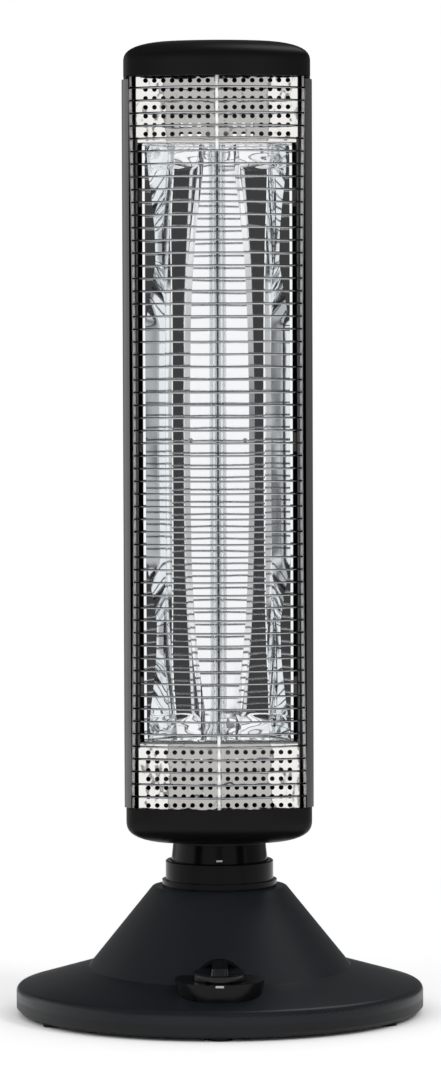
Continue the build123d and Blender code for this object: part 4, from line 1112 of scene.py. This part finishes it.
middle_low, middle_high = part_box("guard_centre_rod")
middle_rod_radius = 1.2 * MM
middle_y = (middle_low[1] + middle_high[1]) / 2
pitches_crossed = 5
crossed = pitches_crossed * pitch + wire_radius
middle_heights = (middle_low[2], lowest + crossed, guard_high[2] - wire_radius - crossed, middle_high[2])
middle_mesh = bpy.data.meshes.new("middle_rod_paths")
middle_mesh.from_pydata([(0, middle_y, z) for z in middle_heights], [(0, 1), (2, 3)], [])
middle_rods = grow(
    "middle_rods",
    rod_tree,
    {"Wire Radius": middle_rod_radius, "Sides": 16, "Material": dull_chrome},
    start=middle_mesh,
    corner_degrees=60,
)
seat(middle_rods, "guard_centre_rod")


# Tube support: a thin wire from an eyelet on the mirror, round the front of the tube and back to
# a second eyelet. It keeps the long tube from sagging.
support_low, support_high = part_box("tube_support")
support_height = (support_low[2] + support_high[2]) / 2
tube_low, tube_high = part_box("quartz_tube")
tube_y = (tube_low[1] + tube_high[1]) / 2
tube_gap = 0.3 * MM
loop_wire_radius = 0.6 * MM
loop_reach = (tube_high[0] - tube_low[0]) / 2 + tube_gap + loop_wire_radius
eyelet_x = 20 * MM
eyelet_y = support_high[1] - 2 * loop_wire_radius
eyelet_radius = (support_high[2] - support_low[2]) / 2 - loop_wire_radius
eyelet_sides = 16
loop_points = [(-eyelet_x, eyelet_y, support_height)]
loop_points += [(x, y, support_height) for x, y in arc((0, tube_y), loop_reach, -math.pi, 0, steps=14)]
loop_points.append((eyelet_x, eyelet_y, support_height))
support_path = path_mesh("support_path", loop_points)
bm = bmesh.new()
bm.from_mesh(support_path)
for side in (-1, 1):
    round_points = arc(
        (side * eyelet_x, support_height),
        eyelet_radius,
        0,
        2 * math.pi * (eyelet_sides - 1) / eyelet_sides,
        steps=eyelet_sides - 1,
    )
    ring = [bm.verts.new((x, eyelet_y, z)) for x, z in round_points]
    for point, following in zip(ring, ring[1:] + ring[:1]):
        bm.edges.new((point, following))
bm.to_mesh(support_path)
bm.free()
support = grow(
    "tube_support_wire",
    rod_tree,
    {"Wire Radius": loop_wire_radius, "Sides": 10, "Material": chrome},
    start=support_path,
    corner_degrees=60,
)
seat(support, "tube_support")


# Counterweight: a ring cast in grey iron that rests on the tray and keeps the tall heater upright.
# The sand mould leaves it rough and dull.
sand_grain = 1.2 * MM
skin_height = 0.12 * MM
cast_iron, tree, shader, place = new_material("sand-cast grey iron")
sand = add_node(tree, "ShaderNodeTexNoise", {"Vector": place, "Scale": 1 / sand_grain, "Detail": 4.0})
rough_skin = add_node(
    tree, "ShaderNodeBump", {"Height": sand.outputs[0], "Distance": skin_height, "Strength": 0.8}
)
shader.inputs["Base Color"].default_value = linear("#4a4745")
shader.inputs["Metallic"].default_value = 1.0
shader.inputs["Roughness"].default_value = 0.62
tree.links.new(rough_skin.outputs[0], shader.inputs["Normal"])
dress(cast_iron, "counterweight")


# Switches and cut-out: black phenolic cases. The rotary switch sits under the dial, the tip-over
# switch over its plunger, and the thermal cut-out on the back of the mirror.
phenolic = moulded(
    "moulded black phenolic", "#101011", roughness=0.42, grain_mm=0.8, grain_height_mm=0.02, ior=1.6
)
dress(phenolic, "rotary_switch", "tip_switch", "thermal_cutout")


# Pressed and drawn steel: the switch shaft, clip, bracket, stop pin, motor can, spring and the
# straps behind the mirror. Cold-rolled or drawn, lightly oiled, with a fine grain along the rolling.
plain_steel = bright_metal(
    "cold-rolled steel", "#a3a19d", roughness=0.3, streak_mm=1.2, streak_length_mm=12, streak_share=0.5
)
dress(plain_steel, "switch_shaft", "retaining_clip", "motor_bracket", "stop_pin")
dress(plain_steel, "swing_motor", "tip_spring", "cross_straps")


# Bush, gear, pinion and terminal block: moulded in natural nylon, which runs dry on the neck's
# journal and takes the small load of the swing.
nylon = moulded(
    "natural moulded nylon", "#dcd9d0", roughness=0.5, grain_mm=0.8, grain_height_mm=0.01, ior=1.53
)
dress(nylon, "swivel_bush", "sector_gear", "drive_pinion", "terminal_block")


# Tip-over plunger: a red moulded pin that the floor pushes in against its spring.
red_nylon = moulded(
    "red moulded nylon", "#a5180f", roughness=0.4, grain_mm=0.8, grain_height_mm=0.01, ior=1.53
)
dress(red_nylon, "tip_plunger")


# Screws: steel, pressed pan heads with a cross recess, rolled shanks, zinc plated and clear
# passivated. They hold the tray, collar, gear, bracket, neck, frames and shell.
zinc = bright_metal(
    "clear passivated zinc plate",
    "#b9bbbf",
    roughness=0.28,
    streak_mm=0.8,
    streak_length_mm=0.8,
    streak_share=0.5,
)
screw_tree, entry = new_tree(
    "pan head screws",
    {
        "Head Radius": "Float",
        "Head Height": "Float",
        "Shank Radius": "Float",
        "Shank Length": "Float",
        "Sides": "Int",
        "Material": "Material",
    },
)
# The crown and the recess in shares of the head's radius, the cutters' height in shares of its height.
crown_share = 0.72
recess_length_share = 1.05
recess_width_share = 0.26
cutter_height_share = 1.45
followers = (
    ("Head Radius", crown_share),
    ("Head Radius", recess_length_share),
    ("Head Radius", recess_width_share),
    ("Head Height", cutter_height_share),
    ("Shank Length", -0.5),
)
crown_radius, recess_length, recess_width, cutter_height, half_shank = [
    add_node(screw_tree, "ShaderNodeMath", {0: entry[size], 1: share}, operation="MULTIPLY").outputs[0]
    for size, share in followers
]
head = add_node(
    screw_tree,
    "GeometryNodeMeshCone",
    {
        "Vertices": entry["Sides"],
        "Radius Top": crown_radius,
        "Radius Bottom": entry["Head Radius"],
        "Depth": entry["Head Height"],
    },
)
cutter_place = add_node(screw_tree, "ShaderNodeCombineXYZ", {"Z": cutter_height})
recessed = add_node(screw_tree, "GeometryNodeMeshBoolean", {0: head.outputs[0]}, operation="DIFFERENCE")
for across, along in ((recess_length, recess_width), (recess_width, recess_length)):
    size = add_node(
        screw_tree, "ShaderNodeCombineXYZ", {"X": across, "Y": along, "Z": entry["Head Height"]}
    )
    blade = add_node(screw_tree, "GeometryNodeMeshCube", {"Size": size.outputs[0]})
    cutter = add_node(
        screw_tree, "GeometryNodeTransform", {0: blade.outputs[0], "Translation": cutter_place.outputs[0]}
    )
    screw_tree.links.new(cutter.outputs[0], recessed.inputs[1])
shank = add_node(
    screw_tree,
    "GeometryNodeMeshCylinder",
    {"Vertices": entry["Sides"], "Radius": entry["Shank Radius"], "Depth": entry["Shank Length"]},
)
sunk = add_node(screw_tree, "ShaderNodeCombineXYZ", {"Z": half_shank})
low_shank = add_node(
    screw_tree, "GeometryNodeTransform", {0: shank.outputs[0], "Translation": sunk.outputs[0]}
)
screw = add_node(screw_tree, "GeometryNodeJoinGeometry", {0: recessed.outputs[0]})
screw_tree.links.new(low_shank.outputs[0], screw.inputs[0])
way = add_node(screw_tree, "GeometryNodeInputNamedAttribute", {"Name": "way"}, data_type="FLOAT_VECTOR")
aligned = add_node(screw_tree, "FunctionNodeAlignRotationToVector", {"Vector": way.outputs[0]}, axis="Z")
screws = add_node(
    screw_tree,
    "GeometryNodeInstanceOnPoints",
    {"Points": entry["Geometry"], "Instance": screw.outputs[0], "Rotation": aligned.outputs[0]},
)
close_tree(screw_tree, screws.outputs[0], entry["Material"])


end_points = 8
head_fit_share = 0.99
shank_fit_share = 0.97


def read_screws(node):
    """From a CAD group of screws: each head's seat and way, and its head's and shank's sizes."""
    bm = bmesh.new()
    bm.from_mesh(cad[node].data)
    bmesh.ops.remove_doubles(bm, verts=bm.verts, dist=merge_reach)
    left = set(bm.verts)
    found = []
    while left:
        island = {left.pop()}
        edge = set(island)
        while edge:
            edge = {v for known in edge for e in known.link_edges for v in e.verts} - island
            island |= edge
        left -= island
        spans = [[f(v.co[i] for v in island) for f in (min, max)] for i in range(3)]
        axis = max(range(3), key=lambda i: spans[i][1] - spans[i][0])
        ordered = sorted(island, key=lambda v: v.co[axis])
        bottom, shoulder, top = [ordered[i].co[axis] for i in (0, len(ordered) // 2, -1)]
        ends = [[v.co[axis - 1] for v in end] for end in (ordered[:end_points], ordered[-end_points:])]
        widths = [max(end) - min(end) for end in ends]
        sign = 1 if widths[1] > widths[0] else -1
        middle = [(low + high) / 2 for low, high in spans]
        middle[axis] = shoulder
        facing = [0.0, 0.0, 0.0]
        facing[axis] = sign
        lengths = [shoulder - bottom, top - shoulder]
        found.append((middle, facing, max(widths) / 2, min(widths) / 2, lengths[::-sign]))
    bm.free()
    return sorted(found)


for node in sorted(name for name in cad if name.endswith("_screws")):
    group = read_screws(node)
    seats = bpy.data.meshes.new(node + "_seats")
    seats.from_pydata([screw[0] for screw in group], [], [])
    ways = seats.attributes.new("way", "FLOAT_VECTOR", "POINT")
    for number, screw in enumerate(group):
        ways.data[number].vector = screw[1]
    head_radius, shank_radius, (head_height, shank_length) = group[0][2:]
    turned_screws = grow(
        node + "_turned",
        screw_tree,
        {
            "Head Radius": head_radius * head_fit_share,
            "Head Height": head_height,
            "Shank Radius": shank_radius * shank_fit_share,
            "Shank Length": shank_length,
            "Sides": 16,
            "Material": zinc,
        },
        start=seats,
        corner_degrees=35,
    )
    seat(turned_screws, node)
